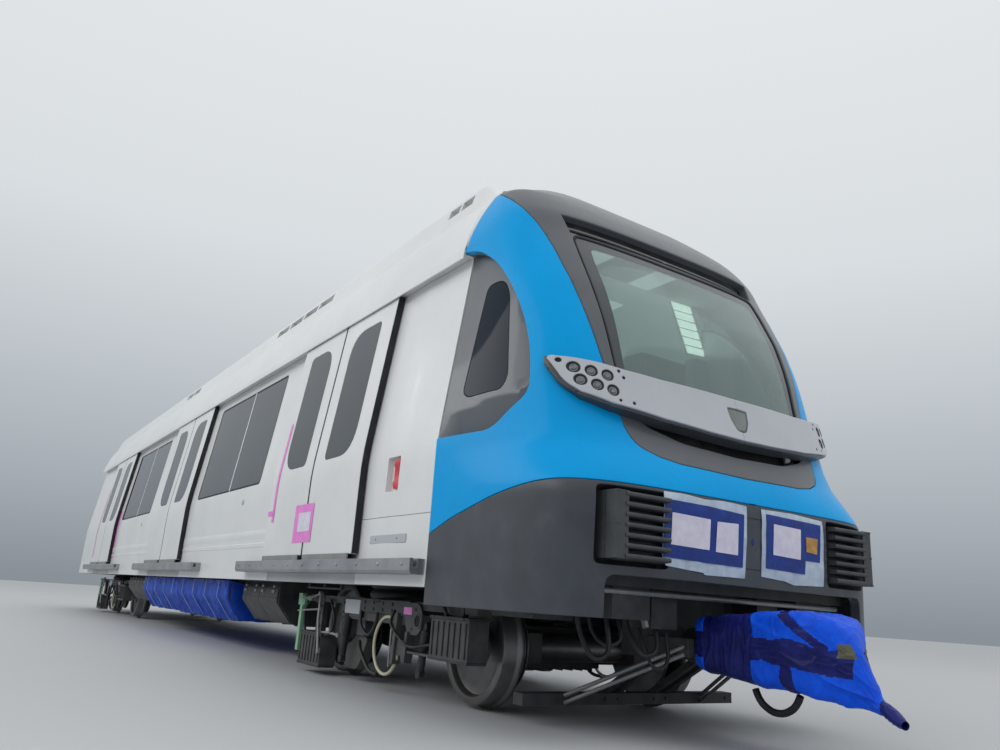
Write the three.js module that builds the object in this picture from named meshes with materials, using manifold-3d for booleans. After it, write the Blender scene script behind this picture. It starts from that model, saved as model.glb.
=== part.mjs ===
// Metro car, cab end: the driving car of a light metro train, as it stands before service.
// Millimetres, +X towards the cab, +Y to the car's left, +Z up. Inside this file x runs from
// the joint between the cab and the body; the last line moves the origin to the middle of the
// car, on the plane that the wheel flanges stand on.
import * as THREE from 'three';
import { mergeVertices } from 'three/addons/utils/BufferGeometryUtils.js';
import Module from 'manifold-3d';

const wasm = await Module();
wasm.setup();

// Driving dimensions.
const GAP = 0.3;
const BODY_REAR = -15060;
const END_WALL = 60;
const GANGWAY_DEPTH = 380;
const WRAP_TIP = 2200;
const BODY_BOTTOM = 700;
const HALF_WIDTH = 1320;
const WAIST_Z = 1560;
const EAVES_Z = 2848;
const EAVES_Y = 1159;
const WALL = 70;
const FLOOR_Z = 900;
const FLOOR_UNDERSIDE = 790;

// Doors: one row per door pair, counted from the cab. Each leaf slides along the wall.
const DOOR_PITCH = 5155;
const DOOR_CENTRES = [-1928, -1928 - DOOR_PITCH, -1928 - 2 * DOOR_PITCH];
const LEAF_WIDTH = 950;
const LEAF_HALF_GAP = 3;
const LEAF_BOTTOM = 900;
const LEAF_TOP = 2840;
const LEAF_STANDOFF = 12;
const LEAF_THICK = 46;
const DOORWAY_HALF = 650;
const DOORWAY_TOP = 2780;
const RAIL_LENGTH = 3480;
const RAIL_AHEAD = 1911;

// Running gear.
const PIVOTS = { front: -1220, rear: -12320 };
const HALF_WHEELBASE = 1000;
const WHEEL_SEGMENTS = 24;
const FLANGE_R = 378;
const TREAD_R = 350;
const AXLE_R = 85;
const BEARING_CLEARANCE = 0.9;
const AXLE_Z = FLANGE_R * Math.cos(Math.PI / WHEEL_SEGMENTS);
const BACK_TO_BACK = 1360;
const WHEEL_WIDTH = 135;

const material = (color, roughness, metalness) =>
  new THREE.MeshStandardMaterial({ color, roughness, metalness, flatShading: true });
const PAINT = {
  white: material(0xdadddd, 0.35, 0.0),
  blue: material(0x0a96d6, 0.25, 0.0),
  grey: material(0x63666b, 0.35, 0.0),
  silver: material(0xa6a9b0, 0.4, 0.3),
  slate: material(0x474a4d, 0.5, 0.0),
  glass: material(0x5c646b, 0.1, 0.0),
  clear: material(0x7f9290, 0.1, 0.0),
  black: material(0x16181a, 0.4, 0.0),
  steel: material(0x3b3d40, 0.6, 0.5),
  wheel: material(0x6e6a66, 0.45, 0.8),
  rubber: material(0x26282b, 0.8, 0.0),
  alloy: material(0x9a9c9d, 0.5, 0.6),
  tarp: material(0x1250c8, 0.5, 0.0),
  seat: material(0x3f6f8f, 0.6, 0.0),
};

const car = new THREE.Group();

// Solids: a closed geometry becomes something that joins and cuts, and back again.
function solid(geometry) {
  const bare = geometry.clone();
  bare.deleteAttribute('normal');
  bare.deleteAttribute('uv');
  const merged = mergeVertices(bare);
  return new wasm.Manifold(new wasm.Mesh({
    numProp: 3,
    vertProperties: new Float32Array(merged.attributes.position.array),
    triVerts: new Uint32Array(merged.index.array),
  }));
}

function geometryOf(shape) {
  const mesh = shape.getMesh();
  const geometry = new THREE.BufferGeometry();
  geometry.setAttribute('position', new THREE.BufferAttribute(mesh.vertProperties, 3));
  geometry.setIndex(new THREE.BufferAttribute(mesh.triVerts, 1));
  return geometry;
}

function add(name, shape, paint) {
  const geometry = shape.isBufferGeometry ? shape : geometryOf(shape);
  const mesh = new THREE.Mesh(geometry, paint);
  mesh.name = name;
  car.add(mesh);
  return mesh;
}

const joined = (shapes) => shapes.reduce((sum, shape) => sum.add(shape));
const cutBy = (shape, tools) => tools.reduce((rest, tool) => rest.subtract(tool), shape);

// Mirror image across the car's middle plane.
function mirrored(geometry) {
  const flat = mergeVertices(geometry.clone().deleteAttribute('normal'));
  flat.scale(1, -1, 1);
  const index = flat.index.array;
  for (let i = 0; i < index.length; i += 3) {
    [index[i], index[i + 1]] = [index[i + 1], index[i]];
  }
  return flat;
}

function otherSide(shape) {
  return solid(mirrored(geometryOf(shape)));
}

// Outlines: a list of [a, b, radius]; a corner with a radius is rounded, as far as its sides
// allow.
function outline(corners) {
  const shape = new THREE.Shape();
  const count = corners.length;
  corners.forEach(([a, b, radius = 0], i) => {
    const corner = new THREE.Vector2(a, b);
    const [pa, pb] = corners[(i + count - 1) % count];
    const [na, nb] = corners[(i + 1) % count];
    const back = new THREE.Vector2(pa, pb).sub(corner);
    const ahead = new THREE.Vector2(na, nb).sub(corner);
    const reach = Math.min(radius, 0.48 * back.length(), 0.48 * ahead.length());
    const before = back.setLength(reach).add(corner);
    const after = ahead.setLength(reach).add(corner);
    if (i === 0) {
      shape.moveTo(before.x, before.y);
    } else {
      shape.lineTo(before.x, before.y);
    }
    if (radius > 0) {
      shape.quadraticCurveTo(a, b, after.x, after.y);
    }
  });
  shape.closePath();
  return shape;
}

// The same outline moved outwards (or inwards, when the distance is negative).
function grown(shape, distance, segments = 5) {
  const points = shape.getPoints(segments);
  const ring = points.filter((p, i) => i === 0 || p.distanceTo(points[i - 1]) > 0.01);
  if (ring[0].distanceTo(ring[ring.length - 1]) < 0.01) {
    ring.pop();
  }
  const turn = THREE.ShapeUtils.isClockWise(ring) ? -1 : 1;
  const count = ring.length;
  const moved = ring.map((p, i) => {
    const into = p.clone().sub(ring[(i + count - 1) % count]).normalize();
    const out = ring[(i + 1) % count].clone().sub(p).normalize();
    const normal = new THREE.Vector2(into.y + out.y, -into.x - out.x).normalize();
    const spread = Math.max(0.35, normal.dot(new THREE.Vector2(into.y, -into.x)));
    return p.clone().addScaledVector(normal, turn * distance / spread);
  });
  return new THREE.Shape(moved);
}

// Prisms: an outline in (y, z) run along x, or an outline in (x, z) run along y.
function alongX(shape, x0, x1, segments = 5) {
  const options = { depth: x1 - x0, bevelEnabled: false, curveSegments: segments };
  const geometry = new THREE.ExtrudeGeometry(shape, options);
  geometry.applyMatrix4(new THREE.Matrix4().set(0, 0, 1, x0, 1, 0, 0, 0, 0, 1, 0, 0, 0, 0, 0, 1));
  return solid(geometry);
}

function alongY(shape, y0, y1, segments = 5) {
  const options = { depth: y1 - y0, bevelEnabled: false, curveSegments: segments };
  const geometry = new THREE.ExtrudeGeometry(shape, options);
  geometry.rotateX(Math.PI / 2);
  geometry.translate(0, y1, 0);
  return solid(geometry);
}

function box(x0, x1, y0, y1, z0, z1) {
  const geometry = new THREE.BoxGeometry(x1 - x0, y1 - y0, z1 - z0);
  geometry.translate((x0 + x1) / 2, (y0 + y1) / 2, (z0 + z1) / 2);
  return solid(geometry);
}

function upright(x, y, z0, z1, radius, segments = 24) {
  const geometry = new THREE.CylinderGeometry(radius, radius, z1 - z0, segments);
  geometry.rotateX(Math.PI / 2);
  geometry.translate(x, y, (z0 + z1) / 2);
  return solid(geometry);
}

function barAlongX(x0, x1, y, z, radius, segments = 24) {
  const geometry = new THREE.CylinderGeometry(radius, radius, x1 - x0, segments);
  geometry.rotateZ(Math.PI / 2);
  geometry.translate((x0 + x1) / 2, y, z);
  return solid(geometry);
}

function barAlongY(x, y0, y1, z, radius, segments = 24) {
  const geometry = new THREE.CylinderGeometry(radius, radius, y1 - y0, segments);
  geometry.translate(x, (y0 + y1) / 2, z);
  return solid(geometry);
}

// A closed body through rings of points that all have the same count.
function loft(rings) {
  const count = rings[0].length;
  const points = rings.flat().flatMap((p) => [p.x, p.y, p.z]);
  const faces = [];
  for (let r = 0; r + 1 < rings.length; r += 1) {
    for (let i = 0; i < count; i += 1) {
      const a = r * count + i;
      const b = r * count + (i + 1) % count;
      faces.push(a, b, b + count, a, b + count, a + count);
    }
  }
  const lid = (ring) => THREE.ShapeUtils.triangulateShape(ring.flat, []);
  const first = lid({ flat: flatten(rings[0]) });
  const last = lid({ flat: flatten(rings[rings.length - 1]) });
  const top = (rings.length - 1) * count;
  first.forEach(([a, b, c]) => faces.push(c, b, a));
  last.forEach(([a, b, c]) => faces.push(top + a, top + b, top + c));
  const geometry = new THREE.BufferGeometry();
  geometry.setAttribute('position', new THREE.Float32BufferAttribute(points, 3));
  geometry.setIndex(faces);
  return solid(geometry);
}

// A ring seen along its own flat direction: level rings lose z, upright ones lose x.
function flatten(ring) {
  const level = ring.every((p) => Math.abs(p.z - ring[0].z) < 1e-6);
  return ring.map((p) => (level ? new THREE.Vector2(p.x, p.y) : new THREE.Vector2(p.y, p.z)));
}

// Body side: the wall is upright below the waist and leans in above it.
const LEAN = (HALF_WIDTH - EAVES_Y) / (EAVES_Z - WAIST_Z);
const wallY = (z, standoff = 0) =>
  HALF_WIDTH + standoff - (z > WAIST_Z ? (z - WAIST_Z) * LEAN : 0);

function skin(z0, z1, inner, outer) {
  const levels = z0 < WAIST_Z ? [z0, WAIST_Z, z1] : [z0, z1];
  return outline([
    ...levels.map((z) => [wallY(z, outer), z]),
    ...levels.reverse().map((z) => [wallY(z, inner), z]),
  ]);
}

// Side windows, one bay behind each of the first two doors: [rear edge, front edge, z0, z1].
const BAY = { rear: -3932, front: -1552, z0: 1607, z1: 2730, radius: 60 };
const bayOutline = (centre) => outline([
  [centre + BAY.rear, BAY.z0, BAY.radius], [centre + BAY.front, BAY.z0, BAY.radius],
  [centre + BAY.front, BAY.z1, BAY.radius], [centre + BAY.rear, BAY.z1, BAY.radius],
]);

// Window of a leaf: [distance from the leaf's closing edge, z, corner radius].
const LEAF_WINDOW = [[200, 1630, 60], [735, 1630, 240], [735, 2700, 60], [200, 2700, 240]];

const BODY_FRONT = -GAP;
const WALL_REAR = BODY_REAR + END_WALL + GAP;
const RAIL_PROFILE = [[1315, 770], [1410, 770], [1422, 790], [1422, 862], [1398, 862],
  [1398, 812], [1372, 812], [1372, 862], [1315, 862]];
const HANDLE = { x0: -642, x1: -471, z0: 1305, z1: 1532, depth: 30 };

function sideWall() {
  const wall = alongX(skin(BODY_BOTTOM, EAVES_Z, -WALL, 0), WALL_REAR, BODY_FRONT);
  const tools = [];
  const rails = [];
  DOOR_CENTRES.forEach((centre) => {
    const ends = [centre - DOORWAY_HALF, centre + DOORWAY_HALF];
    tools.push(box(ends[0], ends[1], 1000, 1400, FLOOR_Z, DOORWAY_TOP));
    const railFront = centre + RAIL_AHEAD;
    rails.push(alongX(outline(RAIL_PROFILE), railFront - RAIL_LENGTH, railFront));
  });
  DOOR_CENTRES.slice(0, 2).forEach((centre) => {
    tools.push(alongY(grown(bayOutline(centre), GAP), 1000, 1400));
  });
  tools.push(box(HANDLE.x0, HANDLE.x1, HALF_WIDTH - HANDLE.depth, 1400, HANDLE.z0, HANDLE.z1));
  return cutBy(joined([wall, ...rails]), tools);
}

const leftWall = sideWall();
add('side_wall_left', leftWall, PAINT.white);
add('side_wall_right', otherSide(leftWall), PAINT.white);

// Glazing of the two bays: dark glass with a slim upright between the two panes.
const PANE = { thick: 16, mullion: 40, mullionAt: -2589 };
DOOR_CENTRES.slice(0, 2).forEach((centre, bay) => {
  const sheet = alongX(skin(WAIST_Z - 10, EAVES_Z, -PANE.thick - 4, -4), BODY_REAR, 0);
  const pane = sheet.intersect(alongY(bayOutline(centre), 1000, 1400));
  const at = centre + PANE.mullionAt;
  const bar = alongX(skin(BAY.z0 + 30, BAY.z1 - 30, -PANE.thick - 20, 0),
    at - PANE.mullion / 2, at + PANE.mullion / 2);
  const glazing = pane.add(bar);
  add(`side_window_left_${bay + 1}`, glazing, PAINT.glass);
  add(`side_window_right_${bay + 1}`, otherSide(glazing), PAINT.glass);
});

// Door leaves: a bent panel with its window cut out and a tongue in the groove of the rail.
const TONGUE = { y0: 1379, y1: 1391, bottom: 812 + BEARING_CLEARANCE };
function doorLeaf(centre, towards) {
  const near = centre + towards * LEAF_HALF_GAP;
  const far = near + towards * LEAF_WIDTH;
  const [x0, x1] = [Math.min(near, far), Math.max(near, far)];
  const inner = LEAF_STANDOFF;
  const outer = LEAF_STANDOFF + LEAF_THICK;
  const panel = alongX(skin(LEAF_BOTTOM, LEAF_TOP, inner, outer), x0, x1);
  const shoe = box(x0 + 40, x1 - 40, 1360, TONGUE.y1, LEAF_BOTTOM - 14, LEAF_BOTTOM + 6);
  const tongue = box(x0 + 40, x1 - 40, TONGUE.y0, TONGUE.y1, TONGUE.bottom, LEAF_BOTTOM);
  const hole = outline(LEAF_WINDOW.map(([d, z, r]) => [centre + towards * d, z, r]));
  return joined([panel, shoe, tongue]).subtract(alongY(hole, 1000, 1500, 4));
}

DOOR_CENTRES.forEach((centre, door) => {
  [['fore', 1], ['aft', -1]].forEach(([leaf, towards]) => {
    const shape = doorLeaf(centre, towards);
    add(`door_${door + 1}_left_${leaf}`, shape, PAINT.white);
    add(`door_${door + 1}_right_${leaf}`, otherSide(shape), PAINT.white);
  });
});

// Roof: coved panels over the doors, a low fairing on each edge and a sunk deck between them.
const DECK_Z = 3360;
const CEILING_Z = 3080;
const ROOF_HALF = [
  [0, CEILING_Z + 30], [900, CEILING_Z + 30], [1040, 2960], [1089, EAVES_Z + GAP],
  [1229, EAVES_Z + GAP], [1229, 2818], [1241, 2818], [1236, 2870], [1216, 2960],
  [1180, 3070], [1136, 3180], [1086, 3280], [1050, 3322], [1040, 3322], [968, 3560],
  [940, 3590], [890, 3600], [850, 3590], [840, DECK_Z], [0, DECK_Z + 12],
];
const mirroredPoints = (half) => [
  ...half,
  ...half.filter(([y]) => y > 0).reverse().map(([y, z]) => [-y, z]),
];
// Cut-outs through the fairings: [front end, length], all at one height.
const FAIRING_SLOTS = [[-260, 330], [-640, 330], [-3000, 380], [-3430, 380], [-3860, 380],
  [-4290, 380], [-8200, 380], [-8630, 380]];
const roofCuts = FAIRING_SLOTS.map(([front, length]) =>
  box(front - length, front, -1300, 1300, 3450, 3530));
const roof = cutBy(alongX(outline(mirroredPoints(ROOF_HALF)), WALL_REAR, BODY_FRONT), roofCuts);
add('roof', roof, PAINT.white);

// Air conditioning units on the deck, each with two round fan openings in its lid.
const AC_UNITS = [['front', -3300], ['rear', -10900]];
const AC = { length: 2900, half: 700, height: 205, fan: 270, fanDepth: 90 };
AC_UNITS.forEach(([end, centre]) => {
  const z0 = DECK_Z + 12 + GAP;
  const side = outline([[-AC.half, z0], [AC.half, z0], [AC.half, z0 + AC.height * 0.6],
    [AC.half - 120, z0 + AC.height], [-AC.half + 120, z0 + AC.height],
    [-AC.half, z0 + AC.height * 0.6]]);
  const unit = alongX(side, centre - AC.length / 2, centre + AC.length / 2);
  const fans = [-1, 1].map((s) => upright(centre + s * AC.length / 4, 0,
    z0 + AC.height - AC.fanDepth, z0 + AC.height + 50, AC.fan, 20));
  add(`air_conditioner_${end}`, cutBy(unit, fans), PAINT.alloy);
});

// Underframe: floor slab, solebars, headstock, bogie pads with pins, and draw gear boxes.
const SLAB_HALF = HALF_WIDTH - WALL - GAP;
const SLAB_TOP = 860;
const PAD_Z = 770;
const PIN_R = 70;
const DRAW_BOX = { half: 280, z0: 400 };
const HEADSTOCK = { x0: 960, x1: 1140, half: 1020, z0: 760, z1: 1210 };
const underframe = [
  box(WALL_REAR, BODY_FRONT, -SLAB_HALF, SLAB_HALF, FLOOR_UNDERSIDE, SLAB_TOP),
  box(-10, HEADSTOCK.x1 - 10, -1080, 1080, FLOOR_UNDERSIDE, SLAB_TOP),
  box(HEADSTOCK.x0, HEADSTOCK.x1, -HEADSTOCK.half, HEADSTOCK.half, HEADSTOCK.z0, HEADSTOCK.z1),
  box(560, 860, -DRAW_BOX.half, DRAW_BOX.half, DRAW_BOX.z0, 800),
  box(WALL_REAR, WALL_REAR + 280, -250, 250, DRAW_BOX.z0, 800),
];
[1, -1].forEach((side) => {
  const inner = side * 1110;
  const outer = side * SLAB_HALF;
  underframe.push(box(WALL_REAR, -140, Math.min(inner, outer), Math.max(inner, outer),
    BODY_BOTTOM, FLOOR_UNDERSIDE + 10));
});
Object.values(PIVOTS).forEach((x) => {
  underframe.push(box(x - 320, x + 320, -1050, 1050, PAD_Z, FLOOR_UNDERSIDE + 10));
  underframe.push(upright(x, 0, 535, FLOOR_UNDERSIDE + 10, PIN_R, WHEEL_SEGMENTS));
});
add('underframe', joined(underframe), PAINT.steel);

// Saloon floor with the four long benches and the desk under the windscreen.
const BENCH = { depth: 430, seat: 1340, back: 1680, backThick: 90, kick: 60 };
const DESK = { x0: 470, x1: 860, half: 820, top: 1840 };
const floorPlate = box(WALL_REAR, BODY_FRONT, -SLAB_HALF, SLAB_HALF, SLAB_TOP + GAP, FLOOR_Z);
const benchProfile = outline([
  [1245 - BENCH.depth + BENCH.kick, FLOOR_Z - 10], [1245, FLOOR_Z - 10], [1245, WAIST_Z],
  [1225, BENCH.back], [1225 - BENCH.backThick, BENCH.back],
  [1245 - BENCH.backThick - 30, BENCH.seat + 20], [1245 - BENCH.depth, BENCH.seat],
  [1245 - BENCH.depth, BENCH.seat - 110],
]);
const floorParts = [
  floorPlate,
  box(-10, HEADSTOCK.x0 - 20, -1080, 1080, SLAB_TOP + GAP, FLOOR_Z),
  alongY(outline([[DESK.x0 + 120, FLOOR_Z - 10], [DESK.x1, FLOOR_Z - 10],
    [DESK.x1, DESK.top - 120], [DESK.x1 - 90, DESK.top], [DESK.x0, DESK.top - 60],
    [DESK.x0, DESK.top - 130]]), -DESK.half, DESK.half),
];
DOOR_CENTRES.slice(0, 2).forEach((centre) => {
  const bench = alongX(benchProfile, centre + BAY.rear + 90, centre + BAY.front - 90);
  floorParts.push(bench, otherSide(bench));
});
add('saloon_floor', joined(floorParts), PAINT.seat);

// Rear end wall with the gangway doorway, the folded gangway and the drawbar.
const GANGWAY = { half: 500, z0: FLOOR_Z, z1: 2850, rim: 210 };
const endHalf = [
  [0, BODY_BOTTOM], [HALF_WIDTH, BODY_BOTTOM], [HALF_WIDTH, WAIST_Z], [EAVES_Y, EAVES_Z],
  [1238, EAVES_Z], [1216, 2960], [1136, 3180], [1050, 3322], [968, 3560], [890, 3600], [0, 3600],
];
const endPoints = [...endHalf, ...endHalf.filter(([y]) => y > 0).reverse().map(([y, z]) => [-y, z])];
const gangwayHole = outline([
  [-GANGWAY.half, GANGWAY.z0, 40], [GANGWAY.half, GANGWAY.z0, 40],
  [GANGWAY.half, GANGWAY.z1, 120], [-GANGWAY.half, GANGWAY.z1, 120],
]);
const endWall = alongX(outline(endPoints), BODY_REAR, BODY_REAR + END_WALL)
  .subtract(alongX(gangwayHole, BODY_REAR - 10, BODY_REAR + END_WALL + 10));
add('rear_end_wall', endWall, PAINT.white);

const FOLDS = 3;
const foldPitch = (GANGWAY_DEPTH - GAP) / FOLDS;
const bellows = [];
for (let fold = 0; fold < FOLDS; fold += 1) {
  const x1 = BODY_REAR - GAP - fold * foldPitch;
  const ring = (x0, xe, inset) => alongX(grown(gangwayHole, GANGWAY.rim - inset, 3), x0, xe);
  bellows.push(ring(x1 - foldPitch, x1 - foldPitch * 0.35, 0));
  bellows.push(ring(x1 - foldPitch * 0.4, x1, 60));
}
const gangwayBore = alongX(gangwayHole, BODY_REAR - GANGWAY_DEPTH - 50, BODY_REAR + 50);
add('gangway_bellows', joined(bellows).subtract(gangwayBore), PAINT.rubber);

const COUPLER_Z = 480;
const drawbar = barAlongX(BODY_REAR - GANGWAY_DEPTH, WALL_REAR - GAP, 0, COUPLER_Z, 80);
add('rear_drawbar', drawbar, PAINT.steel);

// Nose: level sections. Columns: z, front at the middle, half width at the joint, and how
// full the corner is (0 for the smooth upper nose, 1 for the square bumper).
const NOSE = [
  [560, 1296, 1318, 1], [800, 1300, 1320, 1], [1200, 1310, 1322, 1], [1256, 1304, 1323, 0.9],
  [1320, 1292, 1324, 0.65], [1400, 1262, 1324, 0.35], [1480, 1222, 1324, 0.1],
  [1600, 1174, 1324, 0], [1790, 1120, 1312, 0], [1940, 1080, 1298, 0], [2170, 1025, 1283, 0],
  [2300, 985, 1274, 0], [2490, 910, 1260, 0], [2730, 780, 1244, 0], [2900, 680, 1228, 0],
  [3060, 612, 1186, 0], [3200, 500, 1128, 0], [3320, 375, 1070, 0], [3400, 280, 1042, 0],
  [3480, 170, 1008, 0], [3545, 60, 976, 0],
];
const NOSE_STEPS = 8;
const WALL_LINE = NOSE.map(([z, front, half, full]) =>
  [z, front - (z > WAIST_Z ? 14 : 0), Math.min(half, wallY(z)), full]);

function noseRing([z, front, half, full], rear) {
  const mix = THREE.MathUtils.lerp;
  const curve = new THREE.CubicBezierCurve(
    new THREE.Vector2(front, 0),
    new THREE.Vector2(front * mix(1, 1.015, full), half * mix(1.01, 1.1, full)),
    new THREE.Vector2(front * mix(0.85, 1.03, full), half * mix(0.985, 1.02, full)),
    new THREE.Vector2(0, half),
  );
  const side = curve.getPoints(NOSE_STEPS);
  const points = [...side, new THREE.Vector2(rear, half)];
  const other = points.slice(1).reverse().map((p) => new THREE.Vector2(p.x, -p.y));
  return [...points, ...other].map((p) => new THREE.Vector3(p.x, p.y, z));
}

// The nose as a solid body: sections moved out or in by an amount on the front and flanks.
function noseBody(table, out, { rear = 0, z0 = NOSE[0][0], z1 = Infinity, flank = out } = {}) {
  const rows = table.filter(([z]) => z >= z0 && z <= z1);
  return loft(rows.map(([z, front, half, full]) =>
    noseRing([z, front + out, half + flank, full], rear)));
}

const SHELL = 60;
const outer = noseBody(NOSE, 0);
const cavity = noseBody(NOSE, -SHELL, { rear: -50, z1: 3060 });
const cavityFoot = box(-50, 1000, -1200, 1200, 500, 700);
const shell = outer.subtract(cavity).subtract(cavityFoot);

// Outlines on the nose. Side views are in (x, z), front views in (y, z).
const APRON_EDGE = [[-60, 990], [0, 1008], [250, 1090], [690, 1189], [990, 1240], [1120, 1256],
  [1500, 1256]];
const below = (drop) => outline([
  [-60, 500], [1500, 500], ...APRON_EDGE.map(([x, z]) => [x, z - drop]).reverse(),
]);
const ARCH = outline([
  [-200, 1594], [340, 1590, 60], [800, 1752, 75], [790, 1900, 60], [700, 2150, 80],
  [545, 2475, 160], [330, 2790, 200], [-200, 2840],
]);
const SURROUND_HALF = [[0, 1900], [880, 1900], [898, 1940], [957, 2209], [1045, 2574],
  [1121, 2880], [1164, 2998], [1118, 3200], [1040, 3390], [1010, 3650], [0, 3650]];
const SURROUND = outline(mirroredPoints(SURROUND_HALF));
const SCREEN_HALF = [[0, 1925], [800, 1925], [822, 2170], [849, 2490], [852, 2730], [845, 2885, 60],
  [0, 2880]];
const SCREEN = outline(mirroredPoints(SCREEN_HALF));
const DISPLAY_HALF = [[0, 2902], [848, 2902], [872, 3040], [0, 3040]];
const DISPLAY = outline(mirroredPoints(DISPLAY_HALF));
const BAND_HALF = [[0, 1610], [275, 1620], [662, 1646], [872, 1687], [1059, 1756], [1138, 1809],
  [1176, 1956], [1140, 1976], [880, 1951], [650, 1943], [0, 1930]];
const BAND = outline(mirroredPoints(BAND_HALF));
const MASK_HALF = [[0, 1405], [500, 1412], [690, 1440], [775, 1500], [800, 1570], [820, 1672],
  [660, 1640], [275, 1614], [0, 1604]];
const MASK = outline(mirroredPoints(MASK_HALF));
const MASK_SLOT_HALF = [[0, 1535], [430, 1545], [640, 1600], [700, 1690], [0, 1690]];

// Cutting prisms; the piece outside gets the wider prism, so a hairline joint stays between.
const frontPrism = (shape, grow, x0 = 0) => alongX(grown(shape, grow), x0, 1700);
const sidePrism = (shape, grow) => alongY(grown(shape, grow), 900, 1500);
const belowApron = (drop) => alongY(below(drop), -1500, 1500);

// Above the quarter panels the shell turns inwards as far as the panels.
const COLLAR = { width: 26, z0: 2440, depth: 50 };
const collar = noseBody(NOSE, -SHELL + 5, { z1: 3060 })
  .subtract(noseBody(WALL_LINE, -COLLAR.depth, { rear: -50, z1: 3060 }))
  .intersect(sidePrism(ARCH, COLLAR.width))
  .intersect(box(0, 700, 900, 1400, COLLAR.z0, 3000));

const archCut = sidePrism(ARCH, GAP);
const blue = cutBy(joined([shell, collar, otherSide(collar)]), [
  belowApron(0), archCut, otherSide(archCut), frontPrism(SURROUND, GAP, -100),
  frontPrism(MASK, GAP, 600), frontPrism(SCREEN, GAP, 300),
]);
add('cab_shell', blue, PAINT.blue);

const surround = cutBy(shell.intersect(frontPrism(SURROUND, 0, -100)), [
  frontPrism(SCREEN, GAP, 200), alongX(DISPLAY, 480, 1700), archCut, otherSide(archCut),
]);
add('windscreen_surround', surround, PAINT.grey);

const screenSheet = noseBody(NOSE, -12).subtract(noseBody(NOSE, -30, { rear: -50 }));
add('windscreen', screenSheet.intersect(frontPrism(SCREEN, 0, 300)), PAINT.clear);

const displaySheet = noseBody(NOSE, -26).subtract(noseBody(NOSE, -46, { rear: -50 }));
add('destination_window', displaySheet.intersect(frontPrism(DISPLAY, -GAP, 480)), PAINT.black);

const quarterSheet = noseBody(WALL_LINE, -4).subtract(noseBody(WALL_LINE, -44, { rear: -50 }));
const QUARTER_GLASS = outline([
  [190, 1850, 50], [262, 1810, 40], [590, 1810, 60], [625, 1880, 40], [500, 2440, 60],
  [420, 2560, 70], [250, 2560, 60],
]);
const quarterPanel = quarterSheet.intersect(sidePrism(ARCH, 0))
  .subtract(sidePrism(QUARTER_GLASS, GAP))
  .subtract(box(-400, GAP, 0, 1500, 0, 4000));
add('quarter_panel_left', quarterPanel, PAINT.grey);
add('quarter_panel_right', otherSide(quarterPanel), PAINT.grey);
const quarterPane = noseBody(WALL_LINE, -8).subtract(noseBody(WALL_LINE, -24, { rear: -50 }))
  .intersect(sidePrism(QUARTER_GLASS, 0));
add('quarter_glass_left', quarterPane, PAINT.glass);
add('quarter_glass_right', otherSide(quarterPane), PAINT.glass);

// Lamp band: a plate that stands proud of the nose, with blind holes for the lamps.
// Lamps on one side: [y, z, radius].
const LAMPS = [[1044, 1907, 33], [953, 1893, 33], [867, 1874, 33], [1018, 1832, 33],
  [932, 1812, 33], [843, 1787, 33]];
const LAMP_FLOOR = { rows: -4 };
const bandBody = noseBody(NOSE, 62, { flank: 24 }).subtract(noseBody(NOSE, GAP, { rear: -50 }));
const lampTools = [];
LAMPS.forEach(([y, z, radius]) => {
  [y, -y].forEach((side) => lampTools.push(barAlongX(900, 1500, side, z, radius, 12)));
});
const lampDepth = noseBody(NOSE, 62 + LAMP_FLOOR.rows - 22, { flank: 24 - 20 });
const lampBores = joined(lampTools).subtract(lampDepth);
const band = bandBody.intersect(alongX(BAND, 500, 1700)).subtract(lampBores);
add('lamp_band', band, PAINT.silver);

const maskSolid = shell.intersect(frontPrism(MASK, 0, 600))
  .subtract(alongX(outline(mirroredPoints(MASK_SLOT_HALF)), 900, 1700)
    .subtract(noseBody(NOSE, -45)));
add('lower_mask', maskSolid, PAINT.grey);

// Apron: the dark skirt below the blue, open under the bumper, with windows for the ribs.
const RIBS = { y0: 680, y1: 1050, z0: 880, z1: 1208, count: 7 };
const OPENING = { half: 1031, z: 805 };
const apronRing = outer.subtract(cavity).subtract(cavityFoot)
  .intersect(belowApron(GAP))
  .subtract(box(-100, 1500, -1500, 1500, 500, 600));
const ribWindow = (side) => box(1000, 1500, Math.min(side * 655, side * 1092),
  Math.max(side * 655, side * 1092), RIBS.z0 - 26, RIBS.z1 + 26);
const apronShape = cutBy(apronRing, [
  box(900, 1500, -OPENING.half, OPENING.half, 400, OPENING.z), ribWindow(1), ribWindow(-1),
]);
const apronMiddle = box(900, 1500, GAP - OPENING.half, OPENING.half - GAP, 400, 1400);
add('cab_apron', apronShape.intersect(apronMiddle), PAINT.slate);
const apronCorner = apronShape.intersect(box(-100, 1500, OPENING.half, 1500, 400, 1400));
add('apron_corner_left', apronCorner, PAINT.slate);
add('apron_corner_right', otherSide(apronCorner), PAINT.slate);

// Anticlimbers: blocks with seven level ribs, standing on the headstock.
const RIB = { root: 1262, tip: 1352, thick: 24 };
function anticlimber(side) {
  const pitch = (RIBS.z1 - RIBS.z0 - RIB.thick) / (RIBS.count - 1);
  const corners = [[HEADSTOCK.x1 + GAP, RIBS.z0], [RIB.tip, RIBS.z0]];
  for (let i = 0; i < RIBS.count; i += 1) {
    const z = RIBS.z0 + i * pitch;
    corners.push([RIB.tip, z + RIB.thick]);
    if (i + 1 < RIBS.count) {
      corners.push([RIB.root, z + RIB.thick + 4], [RIB.root, z + pitch - 4], [RIB.tip, z + pitch]);
    }
  }
  corners.push([HEADSTOCK.x1 + GAP, RIBS.z1]);
  const block = alongY(outline(corners), RIBS.y0, RIBS.y1);
  return side > 0 ? block : otherSide(block);
}
add('anticlimber_left', anticlimber(1), PAINT.slate);
add('anticlimber_right', anticlimber(-1), PAINT.slate);

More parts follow.
